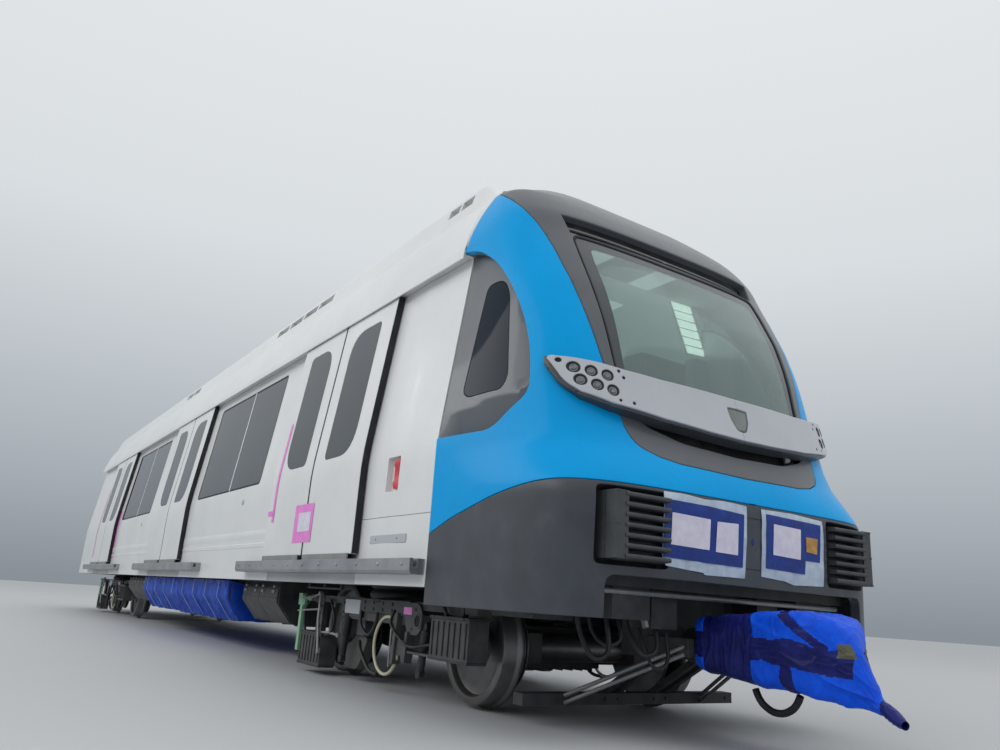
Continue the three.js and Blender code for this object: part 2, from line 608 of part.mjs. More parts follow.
// Front draw gear: the bar, and the coupler head under its tied wrapping.
const WRAP = { x0: 1100, x1: 2080, z0: 270, z1: 660, half: 255 };
add('coupler_bar', barAlongX(860 + GAP, WRAP.x0 - GAP, 0, COUPLER_Z, 95), PAINT.steel);
// Sections of the wrapping: x, middle y, middle z, half width, half height.
const WRAP_ROWS = [
  [WRAP.x0, 0, 468, 225, 180], [WRAP.x0 + 60, 0, 466, 250, 194], [1500, 0, 464, 255, 196],
  [2000, 0, 470, 250, 190], [2080, -6, 455, 225, 165], [2130, -30, 345, 120, 90],
  [2165, -60, 265, 45, 38], [WRAP_TIP, -78, 225, 38, 30],
];
const wrapRing = ([x, y, z, halfY, halfZ], out) => {
  const ring = [];
  const corner = 0.72;
  [[1, -corner], [1, corner], [corner, 1], [-corner, 1], [-1, corner], [-1, -corner],
    [-corner, -1], [corner, -1]].forEach(([a, b]) => {
    ring.push(new THREE.Vector3(x, y + a * (halfY + out), z + b * (halfZ + out)));
  });
  return ring;
};
const wrapBody = (out) => loft(WRAP_ROWS.map((row) => wrapRing(row, out)));
add('coupler_wrap', wrapBody(0), PAINT.tarp);

// Air hose that hangs in a bow under the wrapping: points along it, out of the wrapping and back.
const HOSE_R = 18;
const HOSE_ROUTE = [
  [1368, -92, 300], [1379, -93, 277], [1394, -95, 256], [1412, -96, 237], [1434, -97, 223],
  [1457, -98, 212], [1482, -100, 205], [1508, -101, 203], [1534, -102, 205], [1559, -104, 212],
  [1582, -105, 223], [1604, -106, 237], [1622, -107, 256], [1637, -109, 277], [1648, -110, 300],
];
const hosePath = new THREE.CatmullRomCurve3(HOSE_ROUTE.map((p) => new THREE.Vector3(...p)));
const hoseSection = new THREE.Shape().absarc(0, 0, HOSE_R, 0, 2 * Math.PI);
const hose = solid(new THREE.ExtrudeGeometry(hoseSection,
  { steps: 14, curveSegments: 10, bevelEnabled: false, extrudePath: hosePath }));
add('coupler_hose', hose.subtract(wrapBody(GAP)), PAINT.rubber);

// Guard beam across the track ahead of the first axle, on two stays from the draw gear box.
const stay = (y) => alongY(outline([[330, 155], [388, 155], [800, DRAW_BOX.z0 - GAP],
  [725, DRAW_BOX.z0 - GAP]]), y - 20, y + 20);
const guard = joined([
  box(310, 400, -860, 860, 100, 165), stay(150), stay(250), stay(-150), stay(-250),
]);
add('guard_beam', guard, PAINT.steel);

// Equipment between the bogies: open cases, and the long one under sheeting.
const CASES = [
  ['traction_case', -4250, -3150, 1080, 330, PAINT.steel],
  ['sheeted_case', -8700, -4420, 1180, 300, PAINT.tarp],
  ['auxiliary_case', -10300, -8900, 1120, 340, PAINT.steel],
];
CASES.forEach(([name, x0, x1, half, z0, paint]) => {
  const profile = outline([[-half, 520], [-half + 160, z0], [half - 160, z0], [half, 520],
    [half, 650], [1060, 695], [1060, FLOOR_UNDERSIDE - GAP], [-1060, FLOOR_UNDERSIDE - GAP],
    [-1060, 695], [-half, 650]]);
  add(name, alongX(profile, x0, x1), paint);
});

// Bogies: an inside frame with its motors, and a bolster with the air springs, the current
// collector boxes and a loop of conduit on each side.
const FRAME_SIDE = [[-1170, 290], [-700, 250], [700, 250], [1170, 290], [1170, 470], [760, 520],
  [420, 430], [240, 430], [240, 520], [-240, 520], [-240, 430], [-420, 430], [-760, 520],
  [-1170, 470]];
const SHOE = { x0: 880, x1: 1330, y0: 920, y1: 1060 };
const CONDUIT_LOOP = { x: 190, y: 1014, z: 310, radius: 190, thick: 9 };
function bogieFrame(x) {
  const beam = alongY(outline(FRAME_SIDE), 400, 560);
  const parts = [
    beam, otherSide(beam),
    box(-250, 250, -410, 410, 290, 430),
    box(300, 790, -410, 410, 230, 500),
    box(-790, -300, -410, 410, 230, 500),
  ];
  const bores = [-1, 1].map((s) => barAlongY(s * HALF_WHEELBASE, -600, 600, AXLE_Z,
    AXLE_R + BEARING_CLEARANCE, WHEEL_SEGMENTS));
  return geometryOf(cutBy(joined(parts), bores)).translate(x, 0, 0);
}

function bolster(x) {
  const plate = alongY(outline([[-560, 545, 60], [-480, 455, 60], [480, 455, 60], [560, 545, 60],
    [500, 615, 40], [-500, 615, 40]]), 930, 1010);
  const beam = box(-1330, 1330, 960, 1008, 560, 612);
  const outboard = [plate, beam];
  [1, -1].forEach((end) => {
    const low = end > 0 ? 290 : 70;
    const [x0, x1] = [Math.min(end * SHOE.x0, end * SHOE.x1), Math.max(end * SHOE.x0, end * SHOE.x1)];
    outboard.push(box(x0, x1, SHOE.y0, SHOE.y1, low, low + 240));
    outboard.push(box(end * 1100 - 60, end * 1100 + 60, 962, 1006, low, 600));
  });
  const loop = new THREE.TorusGeometry(CONDUIT_LOOP.radius, CONDUIT_LOOP.thick, 6, 24);
  loop.rotateX(Math.PI / 2);
  loop.translate(CONDUIT_LOOP.x, CONDUIT_LOOP.y, CONDUIT_LOOP.z);
  outboard.push(solid(loop));
  const side = joined([...outboard, upright(0, 800, 590, PAD_Z - GAP, 230, 20)]);
  const parts = [box(-210, 210, -1005, 1005, 520 + GAP, 600), side, otherSide(side)];
  const bore = upright(0, 0, 400, 700, PIN_R + BEARING_CLEARANCE, WHEEL_SEGMENTS);
  return geometryOf(joined(parts).subtract(bore)).translate(x, 0, 0);
}

// Wheelset profile, revolved about the axle: [radius, y] for one wheel, from the middle out.
const WHEEL_IN = BACK_TO_BACK / 2;
const WHEEL_PROFILE = [
  [AXLE_R, 0], [AXLE_R, WHEEL_IN], [FLANGE_R, WHEEL_IN + 6], [FLANGE_R, WHEEL_IN + 24],
  [TREAD_R, WHEEL_IN + 40], [TREAD_R - 4, WHEEL_IN + WHEEL_WIDTH], [300, WHEEL_IN + WHEEL_WIDTH],
  [285, WHEEL_IN + 85], [115, WHEEL_IN + 70], [105, WHEEL_IN + WHEEL_WIDTH],
  [0, WHEEL_IN + WHEEL_WIDTH],
];
function wheelset(x) {
  const outward = WHEEL_PROFILE.map(([r, y]) => new THREE.Vector2(r, y));
  const inward = outward.slice(1).reverse().map((p) => new THREE.Vector2(p.x, -p.y));
  const geometry = new THREE.LatheGeometry([...inward, ...outward], WHEEL_SEGMENTS);
  geometry.rotateY(Math.PI / WHEEL_SEGMENTS);
  geometry.translate(x, 0, AXLE_Z);
  return solid(geometry);
}

Object.entries(PIVOTS).forEach(([end, x]) => {
  add(`bogie_frame_${end}`, bogieFrame(x), PAINT.steel);
  add(`bogie_bolster_${end}`, bolster(x), PAINT.steel);
  add(`wheelset_${end}_leading`, wheelset(x + HALF_WHEELBASE), PAINT.wheel);
  add(`wheelset_${end}_trailing`, wheelset(x - HALF_WHEELBASE), PAINT.wheel);
});

const group = new THREE.Group();
group.add(car);
car.position.x = -(WRAP_TIP + BODY_REAR - GANGWAY_DEPTH) / 2;

export default group;
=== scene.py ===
import math

import bpy
import numpy as np
from mathutils import Matrix, Vector, geometry, noise


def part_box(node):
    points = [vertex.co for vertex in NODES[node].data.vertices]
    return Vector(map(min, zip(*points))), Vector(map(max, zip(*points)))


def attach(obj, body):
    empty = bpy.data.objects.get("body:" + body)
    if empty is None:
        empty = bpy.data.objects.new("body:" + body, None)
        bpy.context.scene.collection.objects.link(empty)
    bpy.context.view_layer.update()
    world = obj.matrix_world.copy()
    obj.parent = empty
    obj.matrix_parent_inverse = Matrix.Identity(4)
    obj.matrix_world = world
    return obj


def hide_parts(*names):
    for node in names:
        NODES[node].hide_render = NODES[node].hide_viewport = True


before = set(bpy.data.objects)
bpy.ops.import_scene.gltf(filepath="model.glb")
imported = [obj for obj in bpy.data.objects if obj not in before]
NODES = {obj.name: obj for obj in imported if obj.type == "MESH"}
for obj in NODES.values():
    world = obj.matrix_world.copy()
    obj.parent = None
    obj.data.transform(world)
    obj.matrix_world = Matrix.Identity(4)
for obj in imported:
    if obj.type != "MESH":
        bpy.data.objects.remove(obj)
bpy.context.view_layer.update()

# Main sizes. Inside this file x runs from the joint between the cab and the body, and JOINT_X
# is where that joint stands in the frame.
JOINT_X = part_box("roof")[1].x + 0.0003
BODY_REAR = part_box("rear_end_wall")[0].x - JOINT_X
WALL_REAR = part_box("roof")[0].x - JOINT_X
BODY_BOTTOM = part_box("rear_end_wall")[0].z
HALF_WIDTH = 1.320
WAIST_Z = 1.560
EAVES_Z = 2.848
EAVES_Y = 1.159
LEAN = (HALF_WIDTH - EAVES_Y) / (EAVES_Z - WAIST_Z)
WAIST_SOFTNESS = 0.05
SIDES = {"left": 1, "right": -1}
ENDS = ("front", "rear")


# Colour and shading nodes
def tone(code):
    """sRGB hex to the linear colour that shaders use."""
    values = [int(code[i:i + 2], 16) / 255 for i in (1, 3, 5)]
    linear = [v / 12.92 if v <= 0.04045 else ((v + 0.055) / 1.055) ** 2.4 for v in values]
    return (*linear, 1.0)


def add_node(material, kind, values=None, links=None, **settings):
    """One shading node: its settings, its socket values and what feeds it."""
    tree = material.node_tree
    made = tree.nodes.new(kind)
    for name, value in settings.items():
        setattr(made, name, value)
    for socket, value in (values or {}).items():
        made.inputs[socket].default_value = value
    for socket, source in (links or {}).items():
        tree.links.new(source, made.inputs[socket])
    return made


def new_material(name, **sockets):
    """A material whose shader sockets hold the even values. Keys are socket names with _ for spaces."""
    material = bpy.data.materials.new(name)
    material.use_nodes = True
    shader = material.node_tree.nodes["Principled BSDF"]
    for key, value in sockets.items():
        shader.inputs[key.replace("_", " ")].default_value = value
    return material


def feed(material, source, socket):
    """Lets a source drive one socket of the shader."""
    shader = material.node_tree.nodes["Principled BSDF"]
    material.node_tree.links.new(source, shader.inputs[socket])


def place_of(material):
    """Places on the piece in metres, which keep to it when it moves."""
    return add_node(material, "ShaderNodeTexCoord").outputs["Object"]


def speckle(material, size, detail=4.0, roughness=0.5, stretch=(1, 1, 1)):
    """Noise with blobs about size metres across, stretched where asked."""
    place = add_node(material, "ShaderNodeMapping", {"Scale": stretch},
                     {"Vector": place_of(material)})
    made = add_node(material, "ShaderNodeTexNoise",
                    {"Scale": 1 / size, "Detail": detail, "Roughness": roughness},
                    {"Vector": place.outputs["Vector"]})
    return made.outputs["Fac"]


def set_stops(band, stops):
    """Colours of a colour ramp: stops are (place, sRGB hex)."""
    while len(band.elements) < len(stops):
        band.elements.new(0.5)
    for element, (where, code) in zip(band.elements, stops):
        element.position = where
        element.color = tone(code)


def ramp(material, source, *stops):
    """Colours along a source."""
    made = add_node(material, "ShaderNodeValToRGB", links={"Fac": source})
    set_stops(made.color_ramp, stops)
    return made.outputs["Color"]


def paint(material, source, *stops):
    """Base colours along a source."""
    feed(material, ramp(material, source, *stops), "Base Color")


def rough_between(material, source, low, high):
    """Roughness that runs from low to high with a source."""
    made = add_node(material, "ShaderNodeMapRange", {"To Min": low, "To Max": high},
                    {"Value": source})
    feed(material, made.outputs["Result"], "Roughness")


def bumps(material, layers):
    """Relief from several sources: layers are (source, height in metres)."""
    normal = None
    for source, height in layers:
        links = {"Height": source}
        if normal is not None:
            links["Normal"] = normal
        made = add_node(material, "ShaderNodeBump", {"Strength": 1.0, "Distance": height}, links)
        normal = made.outputs["Normal"]
    feed(material, normal, "Normal")


def lacquer(name, colour, dusty, roughness, coat, peel=0.00006, waves=0.0012, shine=0.5):
    """Sprayed two-coat paint on large panels: soft waves in the panel, orange peel about 6 mm
    across (drawn coarser than real so that it shows), and a faint film of dust."""
    material = new_material(name, Coat_Weight=coat, Coat_Roughness=0.06, IOR=1.5,
                            Specular_IOR_Level=shine)
    film = speckle(material, 0.7, 5.0, 0.6)
    paint(material, film, (0.35, colour), (0.8, dusty))
    rough_between(material, speckle(material, 0.09, 6.0, 0.65), roughness, roughness + 0.14)
    bumps(material, [(speckle(material, 0.9, 1.0), waves), (speckle(material, 0.006, 2.0), peel)])
    return material


WHITE_LACQUER = lacquer("gloss_white_lacquer", "#dfe0df", "#d3d4d3",
                        0.24, 0.35, peel=0.00002, waves=0.0008)
BLUE_LACQUER = lacquer("gloss_blue_lacquer", "#009fe2", "#0595d6",
                       0.22, 0.05, peel=0.00002, waves=0.0018, shine=0.08)
GREY_LACQUER = lacquer("satin_grey_lacquer", "#585c61", "#505459", 0.3, 0.2, shine=0.35)
SILVER_LACQUER = lacquer("silver_grey_lacquer", "#b3b6bc", "#a6a9af", 0.3, 0.4)


def laminate(name, light, deep, glow=0.0):
    """Pressed laminate lining: matt and pale, a little darker in patches about 300 mm across. In
    the saloon it glows faintly, painted light that stands in for daylight inside the saloon."""
    material = new_material(name, IOR=1.5, Specular_IOR_Level=0.3, Emission_Strength=glow)
    patches = speckle(material, 0.3, 3.0)
    paint(material, patches, (0.3, light), (0.8, deep))
    if glow:
        lit = ramp(material, speckle(material, 1.6, 2.0), (0.3, "#86918c"), (0.8, "#66706c"))
        feed(material, lit, "Emission Color")
        material.cycles.emission_sampling = "NONE"
    rough_between(material, speckle(material, 0.05, 3.0), 0.5, 0.7)
    return material


INNER_WHITE = laminate("pale_laminate_lining", "#b4beb9", "#a2ada8")
# Saloon lining and ceiling: their faint glow is painted light, not lamps.
SALOON_LINING = laminate("painted_light_laminate_lining", "#3a403e", "#2e3432", 1.0)


def dusty_slate():
    """Satin slate grey paint with wiped dust: pale smudges about 220 mm across, and a fine peel."""
    material = new_material("slate_satin_paint", Coat_Weight=0.15, Coat_Roughness=0.3, IOR=1.5)
    smudge = speckle(material, 0.22, 6.0, 0.62)
    paint(material, smudge, (0.4, "#353a41"), (0.62, "#3d4249"), (0.85, "#4e5358"))
    rough_between(material, speckle(material, 0.12, 5.0, 0.6), 0.32, 0.55)
    bumps(material, [(speckle(material, 0.6, 1.0), 0.0008), (speckle(material, 0.004, 2.0), 0.00008)])
    return material


SLATE = dusty_slate()


def tinted_glass(name, colour, deep, shine=0.5):
    """Body-tinted laminated glass: almost no light comes through, and the sky lies in it."""
    material = new_material(name, IOR=1.5, Coat_Weight=0.1 * shine, Coat_Roughness=0.01,
                            Roughness=0.04, Specular_IOR_Level=shine)
    cloud = speckle(material, 1.1, 3.0, 0.5)
    paint(material, cloud, (0.3, deep), (0.75, colour))
    bumps(material, [(speckle(material, 1.3, 1.0), 0.0012)])
    return material


TINTED = tinted_glass("grey_tinted_glass", "#343a42", "#2a2f36")
QUARTER_TINTED = tinted_glass("dark_tinted_glass", "#232c37", "#1a222c", shine=0.07)


def plain_glass():
    """Laminated windscreen: clear with the faint green of thick glass, and a pale diffuse part that
    greys what lies behind it, a painted reflection of the sky on the glass."""
    material = new_material("screen_glass_painted_sky_haze", Base_Color=tone("#a0b8b4"), IOR=1.5,
                            Transmission_Weight=0.74)
    rough_between(material, speckle(material, 0.4, 4.0), 0.01, 0.035)
    return material


SCREEN_GLASS = plain_glass()


def smooth_black(name, colour, roughness, coat=0.0):
    """Black part with a fine grain about 3 mm across, and patches of dust."""
    material = new_material(name, Coat_Weight=coat, Coat_Roughness=0.05, IOR=1.5)
    dust = speckle(material, 0.16, 6.0, 0.65)
    paint(material, dust, (0.45, colour), (0.85, "#34363a"))
    rough_between(material, speckle(material, 0.05, 4.0), roughness, roughness + 0.15)
    bumps(material, [(speckle(material, 0.003, 2.0), 0.00006)])
    return material


BLACK_PANEL = smooth_black("smoked_display_glass", "#08090a", 0.06, 1.0)
RUBBER = smooth_black("extruded_black_rubber", "#121315", 0.55)
# Flat black: real black on small parts and joints, and painted shade behind the quarter panels, in the
# bracket holes and in the cooler intakes.
SHADOW_BLACK = smooth_black("flat_black_paint_and_painted_shade", "#0a0b0c", 0.7)


def brushed_alloy(name, colour, along=0):
    """Extruded aluminium: draw lines along its length, dulled by handling."""
    stretch = [260.0, 260.0, 260.0]
    stretch[along] = 3.0
    material = new_material(name, Metallic=0.85)
    lines = speckle(material, 1.0, 3.0, 0.6, tuple(stretch))
    smear = speckle(material, 0.25, 5.0, 0.6)
    paint(material, smear, (0.3, colour), (0.8, "#8f9194"))
    rough_between(material, lines, 0.34, 0.5)
    bumps(material, [(lines, 0.00005)])
    return material


ALLOY = brushed_alloy("extruded_aluminium", "#aeb0b2")


def grimy_steel(name, colour, dust, roughness=0.55, metallic=0.0):
    """Painted or primed steel under the floor: travel dust lies in clouds about 120 mm across,
    with finer grit about 5 mm."""
    material = new_material(name, Metallic=metallic, IOR=1.5)
    clouds = speckle(material, 0.12, 8.0, 0.68)
    paint(material, clouds, (0.38, colour), (0.78, dust))
    rough_between(material, speckle(material, 0.03, 6.0), roughness - 0.1, roughness + 0.2)
    bumps(material, [(speckle(material, 0.005, 3.0), 0.00018), (speckle(material, 0.3, 1.0), 0.0006)])
    return material


DARK_STEEL = grimy_steel("primed_dark_steel", "#2a2c2f", "#4b4a47")
BOGIE_STEEL = grimy_steel("bogie_grey_paint", "#3c3f42", "#5d5a54")
PALE_STEEL = grimy_steel("zinc_plated_plate", "#85898b", "#a09d95", 0.42, 0.5)


# Building blocks for shapes
def piece(name, points, faces, material, normals=None, body="car_body", slot=None,
          replaces=(), shift=True):
    """A mesh piece that rides on a body. Points are counted from the cab joint when shift is on."""
    points = np.array(points, float)
    if shift:
        points = points + np.array([JOINT_X, 0, 0])
    mesh = bpy.data.meshes.new(name)
    mesh.from_pydata(points.tolist(), [], [list(map(int, face)) for face in faces])
    mesh.materials.append(material)
    mesh.polygons.foreach_set("use_smooth", [True] * len(mesh.polygons))
    mesh.update()
    if normals is not None:
        lengths = np.linalg.norm(normals, axis=1, keepdims=True)
        mesh.normals_split_custom_set_from_vertices((normals / np.maximum(lengths, 1e-9)).tolist())
    made = bpy.data.objects.new(name, mesh)
    bpy.context.scene.collection.objects.link(made)
    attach(made, body)
    if replaces:
        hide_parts(*replaces)
    return made


def sharp(made, angle=30, bevel=0.0, segments=2):
    """Crisp edges, rounded by a small bevel where one is given."""
    if bevel:
        rounded_edges = made.modifiers.new("edges", "BEVEL")
        rounded_edges.width = bevel
        rounded_edges.segments = segments
        rounded_edges.limit_method = "ANGLE"
        rounded_edges.angle_limit = math.radians(angle)
        rounded_edges.harden_normals = True
    else:
        made.data.set_sharp_from_angle(angle=math.radians(angle))
    return made


def outline(corners, steps=6):
    """Points of a closed outline. A corner is (a, b) or (a, b, radius), and is rounded as far
    as its sides allow."""
    points = []
    for i, corner in enumerate(corners):
        here = np.array(corner[:2], float)
        back = np.array(corners[i - 1][:2], float) - here
        ahead = np.array(corners[(i + 1) % len(corners)][:2], float) - here
        radius = corner[2] if len(corner) > 2 else 0.0
        if radius == 0.0:
            points.append(here)
            continue
        reach = min(radius, 0.48 * np.linalg.norm(back), 0.48 * np.linalg.norm(ahead))
        start = here + back / np.linalg.norm(back) * reach
        end = here + ahead / np.linalg.norm(ahead) * reach
        for t in np.linspace(0, 1, steps + 1):
            points.append((1 - t) ** 2 * start + 2 * t * (1 - t) * here + t * t * end)
    return np.array(points)


def finer(points, step, closed=True):
    """The same line with no stretch longer than step."""
    ends = np.roll(points, -1, axis=0) if closed else points[1:]
    starts = points if closed else points[:-1]
    made = []
    for a, b in zip(starts, ends):
        count = max(1, int(math.ceil(np.linalg.norm(b - a) / step)))
        made.extend(a + (b - a) * k / count for k in range(count))
    if not closed:
        made.append(points[-1])
    return np.array(made)


def grown(points, distance):
    """A closed outline moved outwards, or inwards where the distance is negative."""
    area = 0.5 * np.sum(points[:, 0] * np.roll(points[:, 1], -1)
                        - np.roll(points[:, 0], -1) * points[:, 1])
    turn = 1 if area > 0 else -1
    into = points - np.roll(points, 1, axis=0)
    out = np.roll(points, -1, axis=0) - points
    into /= np.maximum(np.linalg.norm(into, axis=1, keepdims=True), 1e-9)
    out /= np.maximum(np.linalg.norm(out, axis=1, keepdims=True), 1e-9)
    normal = np.column_stack([into[:, 1] + out[:, 1], -into[:, 0] - out[:, 0]])
    normal /= np.maximum(np.linalg.norm(normal, axis=1, keepdims=True), 1e-9)
    spread = np.maximum(0.35, np.sum(normal * np.column_stack([into[:, 1], -into[:, 0]]), axis=1))
    return points + turn * distance * normal / spread[:, None]


def inside(polygon, points):
    """Which points lie inside a closed outline."""
    x, y = points[:, 0], points[:, 1]
    hit = np.zeros(len(points), bool)
    for (xa, ya), (xb, yb) in zip(polygon, np.roll(polygon, -1, axis=0)):
        if ya == yb:
            continue
        crosses = (ya > y) != (yb > y)
        hit ^= crosses & (x < (xb - xa) * (y - ya) / (yb - ya) + xa)
    return hit


def away_from(points, lines, distance):
    """Which points keep a distance from every line."""
    marks = np.vstack(lines)
    keep = np.ones(len(points), bool)
    for start in range(0, len(points), 500):
        part = points[start:start + 500]
        gaps = np.min(np.linalg.norm(part[:, None, :] - marks[None, :, :], axis=2), axis=1)
        keep[start:start + 500] = gaps > distance
    return keep


def cells(lines, grid, clear):
    """One triangulation that has every closed line as edges, with grid points between them."""
    points, edges = [], []
    for line in lines:
        first = len(points)
        points.extend(Vector(p) for p in line)
        edges.extend((first + i, first + (i + 1) % len(line)) for i in range(len(line)))
    grid = grid[away_from(grid, lines, clear)]
    points.extend(Vector(p) for p in grid)
    made = geometry.delaunay_2d_cdt(points, edges, [], 0, 1e-5)
    flat = np.array([tuple(p) for p in made[0]])
    triangles = np.array(made[2])
    middles = flat[triangles].mean(axis=1)
    return flat, triangles, middles


class Sheet:
    """A curved sheet: points, the surface's own normals, and triangles that face outwards."""

    def __init__(self, points, normals, faces):
        self.points = points
        self.normals = normals
        self.faces = faces


def laid(flat, triangles, place):
    """Flat triangles laid on a surface by a function that gives points and normals."""
    used, inverse = np.unique(triangles, return_inverse=True)
    faces = inverse.reshape(triangles.shape)
    points, normals = place(flat[used])
    a, b, c = (points[faces[:, k]] for k in range(3))
    facing = np.sum(np.cross(b - a, c - a) * normals[faces].sum(axis=1), axis=1)
    faces[facing < 0] = faces[facing < 0][:, ::-1]
    area = np.linalg.norm(np.cross(b - a, c - a), axis=1)
    return Sheet(points, normals, faces[area > 1e-10])


FLIP = np.array([1.0, -1.0, 1.0])


def flipped(sheet):
    """The sheet on the other side of the car."""
    return Sheet(sheet.points * FLIP, sheet.normals * FLIP, sheet.faces[:, ::-1])


def doubled(sheet):
    """Both halves of a sheet that crosses the middle, as one sheet."""
    count = len(sheet.points)
    other = flipped(sheet)
    middle = np.abs(sheet.points[:, 1]) < 1e-5
    renumber = np.arange(count) + count
    renumber[middle] = np.arange(count)[middle]
    normals = sheet.normals.copy()
    normals[middle, 1] = 0.0
    points = np.vstack([sheet.points, other.points])
    faces = np.vstack([sheet.faces, renumber[other.faces]])
    return Sheet(points, np.vstack([normals, other.normals]), faces)


def edged(sheet, depth, seam=0.0015, radius=0.003, steps=3):
    """Rolls the edges of a sheet over and down, so that it shows as a plate of that depth.
    Gives points, faces and normals."""
    directed = set()
    for a, b, c in sheet.faces.tolist():
        directed.update([(a, b), (b, c), (c, a)])
    border = [(a, b) for a, b in directed if (b, a) not in directed]
    outward = np.zeros_like(sheet.points)
    for a, b in border:
        along = sheet.points[b] - sheet.points[a]
        side = np.cross(along, sheet.normals[a] + sheet.normals[b])
        length = np.linalg.norm(side)
        if length > 1e-12:
            outward[a] += side / length
            outward[b] += side / length
    rim = sorted({v for edge in border for v in edge})
    slot_of = {v: i for i, v in enumerate(rim)}
    sides = outward[rim]
    lengths = np.maximum(np.linalg.norm(sides, axis=1, keepdims=True), 0.8)
    units = sides / np.maximum(np.linalg.norm(sides, axis=1, keepdims=True), 1e-9)
    spread = np.minimum(2.0 / lengths, 1.6)
    ups = sheet.normals[rim]
    points = [sheet.points.copy()]
    points[0][rim] = sheet.points[rim] - units * spread * (seam + radius)
    normals = [sheet.normals]
    rings = [list(rim)]
    total = len(sheet.points)
    for k in range(1, steps + 2):
        if k > steps:
            moved = sheet.points[rim] - units * spread * seam - ups * depth
            facing = units
        else:
            angle = math.radians(90 * k / steps)
            back = seam + radius * (1 - math.sin(angle))
            drop = radius * (1 - math.cos(angle))
            moved = sheet.points[rim] - units * spread * back - ups * drop
            facing = ups * math.cos(angle) + units * math.sin(angle)
        points.append(moved)
        normals.append(facing)
        rings.append(list(range(total, total + len(rim))))
        total += len(rim)
    faces = sheet.faces.tolist()
    for inner, outer in zip(rings, rings[1:]):
        for a, b in border:
            i, j = slot_of[a], slot_of[b]
            faces.append([inner[j], inner[i], outer[i], outer[j]])
    return np.vstack(points), faces, np.vstack(normals)


def plate(name, sheet, depth, material, seam=0.0015, radius=0.003, steps=3, **how):
    """A sheet with rolled edges, as a piece."""
    points, faces, normals = edged(sheet, depth, seam, radius, steps)
    return piece(name, points, faces, material, normals, **how)


def merged(parts):
    """Several (points, faces) lists as one."""
    points, faces, count = [], [], 0
    for part_points, part_faces in parts:
        points.append(np.array(part_points, float))
        faces.extend([v + count for v in face] for face in part_faces)
        count += len(part_points)
    return np.vstack(points), faces


def fitted(name, parts, material, bevel=0.0, angle=42, pivot=0.0, **how):
    """Parts joined as one piece with crisp edges. pivot is where the parts' x counts from."""
    points, faces = merged(parts)
    return sharp(piece(name, points + (pivot, 0, 0), faces, material, **how), angle, bevel)


def on_side(part, sign):
    """A part drawn for the left side, on either side of the car."""
    points, faces = part
    points = np.array(points, float) * (1, sign, 1)
    return points, [tuple(face)[::-1] if sign < 0 else tuple(face) for face in faces]


def sided(parts, sign):
    """Parts drawn for the left side, all on one side."""
    return [on_side(part, sign) for part in parts]


def two_sided(parts):
    """Parts drawn for the left side, on both sides."""
    return sided(parts, 1) + sided(parts, -1)


def skinned(rings):
    """Rings with the same count joined by faces, closed at both ends."""
    count = len(rings[0])
    faces = []
    for r in range(len(rings) - 1):
        for k in range(count):
            a, b = r * count + k, r * count + (k + 1) % count
            faces.append((a, b, b + count, a + count))
    faces.append(tuple(range(count))[::-1])
    faces.append(tuple(range((len(rings) - 1) * count, len(rings) * count)))
    return np.vstack(rings), faces


def round_spots(radius, count, start=0.0):
    """Evenly spaced places (across, up) round a circle, the first one start steps on."""
    turn = 2 * math.pi * (np.arange(count) + start) / count
    return np.column_stack([radius * np.cos(turn), radius * np.sin(turn)])


def across_y(line, y):
    """A line of (x, z) at one y."""
    return np.column_stack([line[:, 0], np.full(len(line), y), line[:, 1]])


def extruded(section, stations):
    """A section of (y, z) carried along x from station to station."""
    return skinned([np.column_stack([np.full(len(section), x), section]) for x in stations])


def block(x0, x1, y0, y1, z0, z1):
    """A box as (points, faces)."""
    points = [(x, y, z) for z in (z0, z1) for y in (y0, y1) for x in (x0, x1)]
    faces = [(0, 2, 3, 1), (4, 5, 7, 6), (0, 1, 5, 4), (2, 6, 7, 3), (0, 4, 6, 2), (1, 3, 7, 5)]
    return points, faces


def tube(path, radius, sides=10, closed_ends=True):
    """A round bar along a path of points."""
    path = np.array(path, float)
    tangents = np.gradient(path, axis=0)
    tangents /= np.maximum(np.linalg.norm(tangents, axis=1, keepdims=True), 1e-9)
    up = np.array([0.0, 0.0, 1.0]) if abs(tangents[0][2]) < 0.9 else np.array([1.0, 0.0, 0.0])
    points, faces = [], []
    angles = np.linspace(0, 2 * math.pi, sides, endpoint=False)
    for centre, tangent in zip(path, tangents):
        side = np.cross(tangent, up)
        side /= max(np.linalg.norm(side), 1e-9)
        up = np.cross(side, tangent)
        points.extend(centre + radius * (math.cos(a) * side + math.sin(a) * up) for a in angles)
    for ring in range(len(path) - 1):
        for k in range(sides):
            a = ring * sides + k
            b = ring * sides + (k + 1) % sides
            faces.append((a, b, b + sides, a + sides))
    if closed_ends:
        faces.append(tuple(range(sides))[::-1])
        faces.append(tuple(range((len(path) - 1) * sides, len(path) * sides)))
    return points, faces


def curve_through(points, steps=8):
    """A smooth path through a few points."""
    points = np.array(points, float)
    padded = np.vstack([2 * points[0] - points[1], points, 2 * points[-1] - points[-2]])
    made = []
    for i in range(len(points) - 1):
        a, b, c, d = padded[i:i + 4]
        for t in np.linspace(0, 1, steps, endpoint=False):
            made.append(0.5 * (2 * b + (c - a) * t + (2 * a - 5 * b + 4 * c - d) * t ** 2
                               + (3 * b - a - 3 * c + d) * t ** 3))
    made.append(points[-1])
    return np.array(made)


def revolved(profile, centre, axis, segments=48):
    """A profile of (radius, along) turned about an axis through centre: (points, faces)."""
    axis = Vector(axis).normalized()
    side = axis.orthogonal().normalized()
    other = axis.cross(side)
    points, faces = [], []
    for k in range(segments):
        angle = 2 * math.pi * k / segments
        out = side * math.cos(angle) + other * math.sin(angle)
        points.extend(tuple(Vector(centre) + out * r + axis * a) for r, a in profile)
    rows = len(profile)
    for k in range(segments):
        here, then = k * rows, (k + 1) % segments * rows
        for i in range(rows - 1):
            faces.append((here + i, then + i, then + i + 1, here + i + 1))
    return points, faces


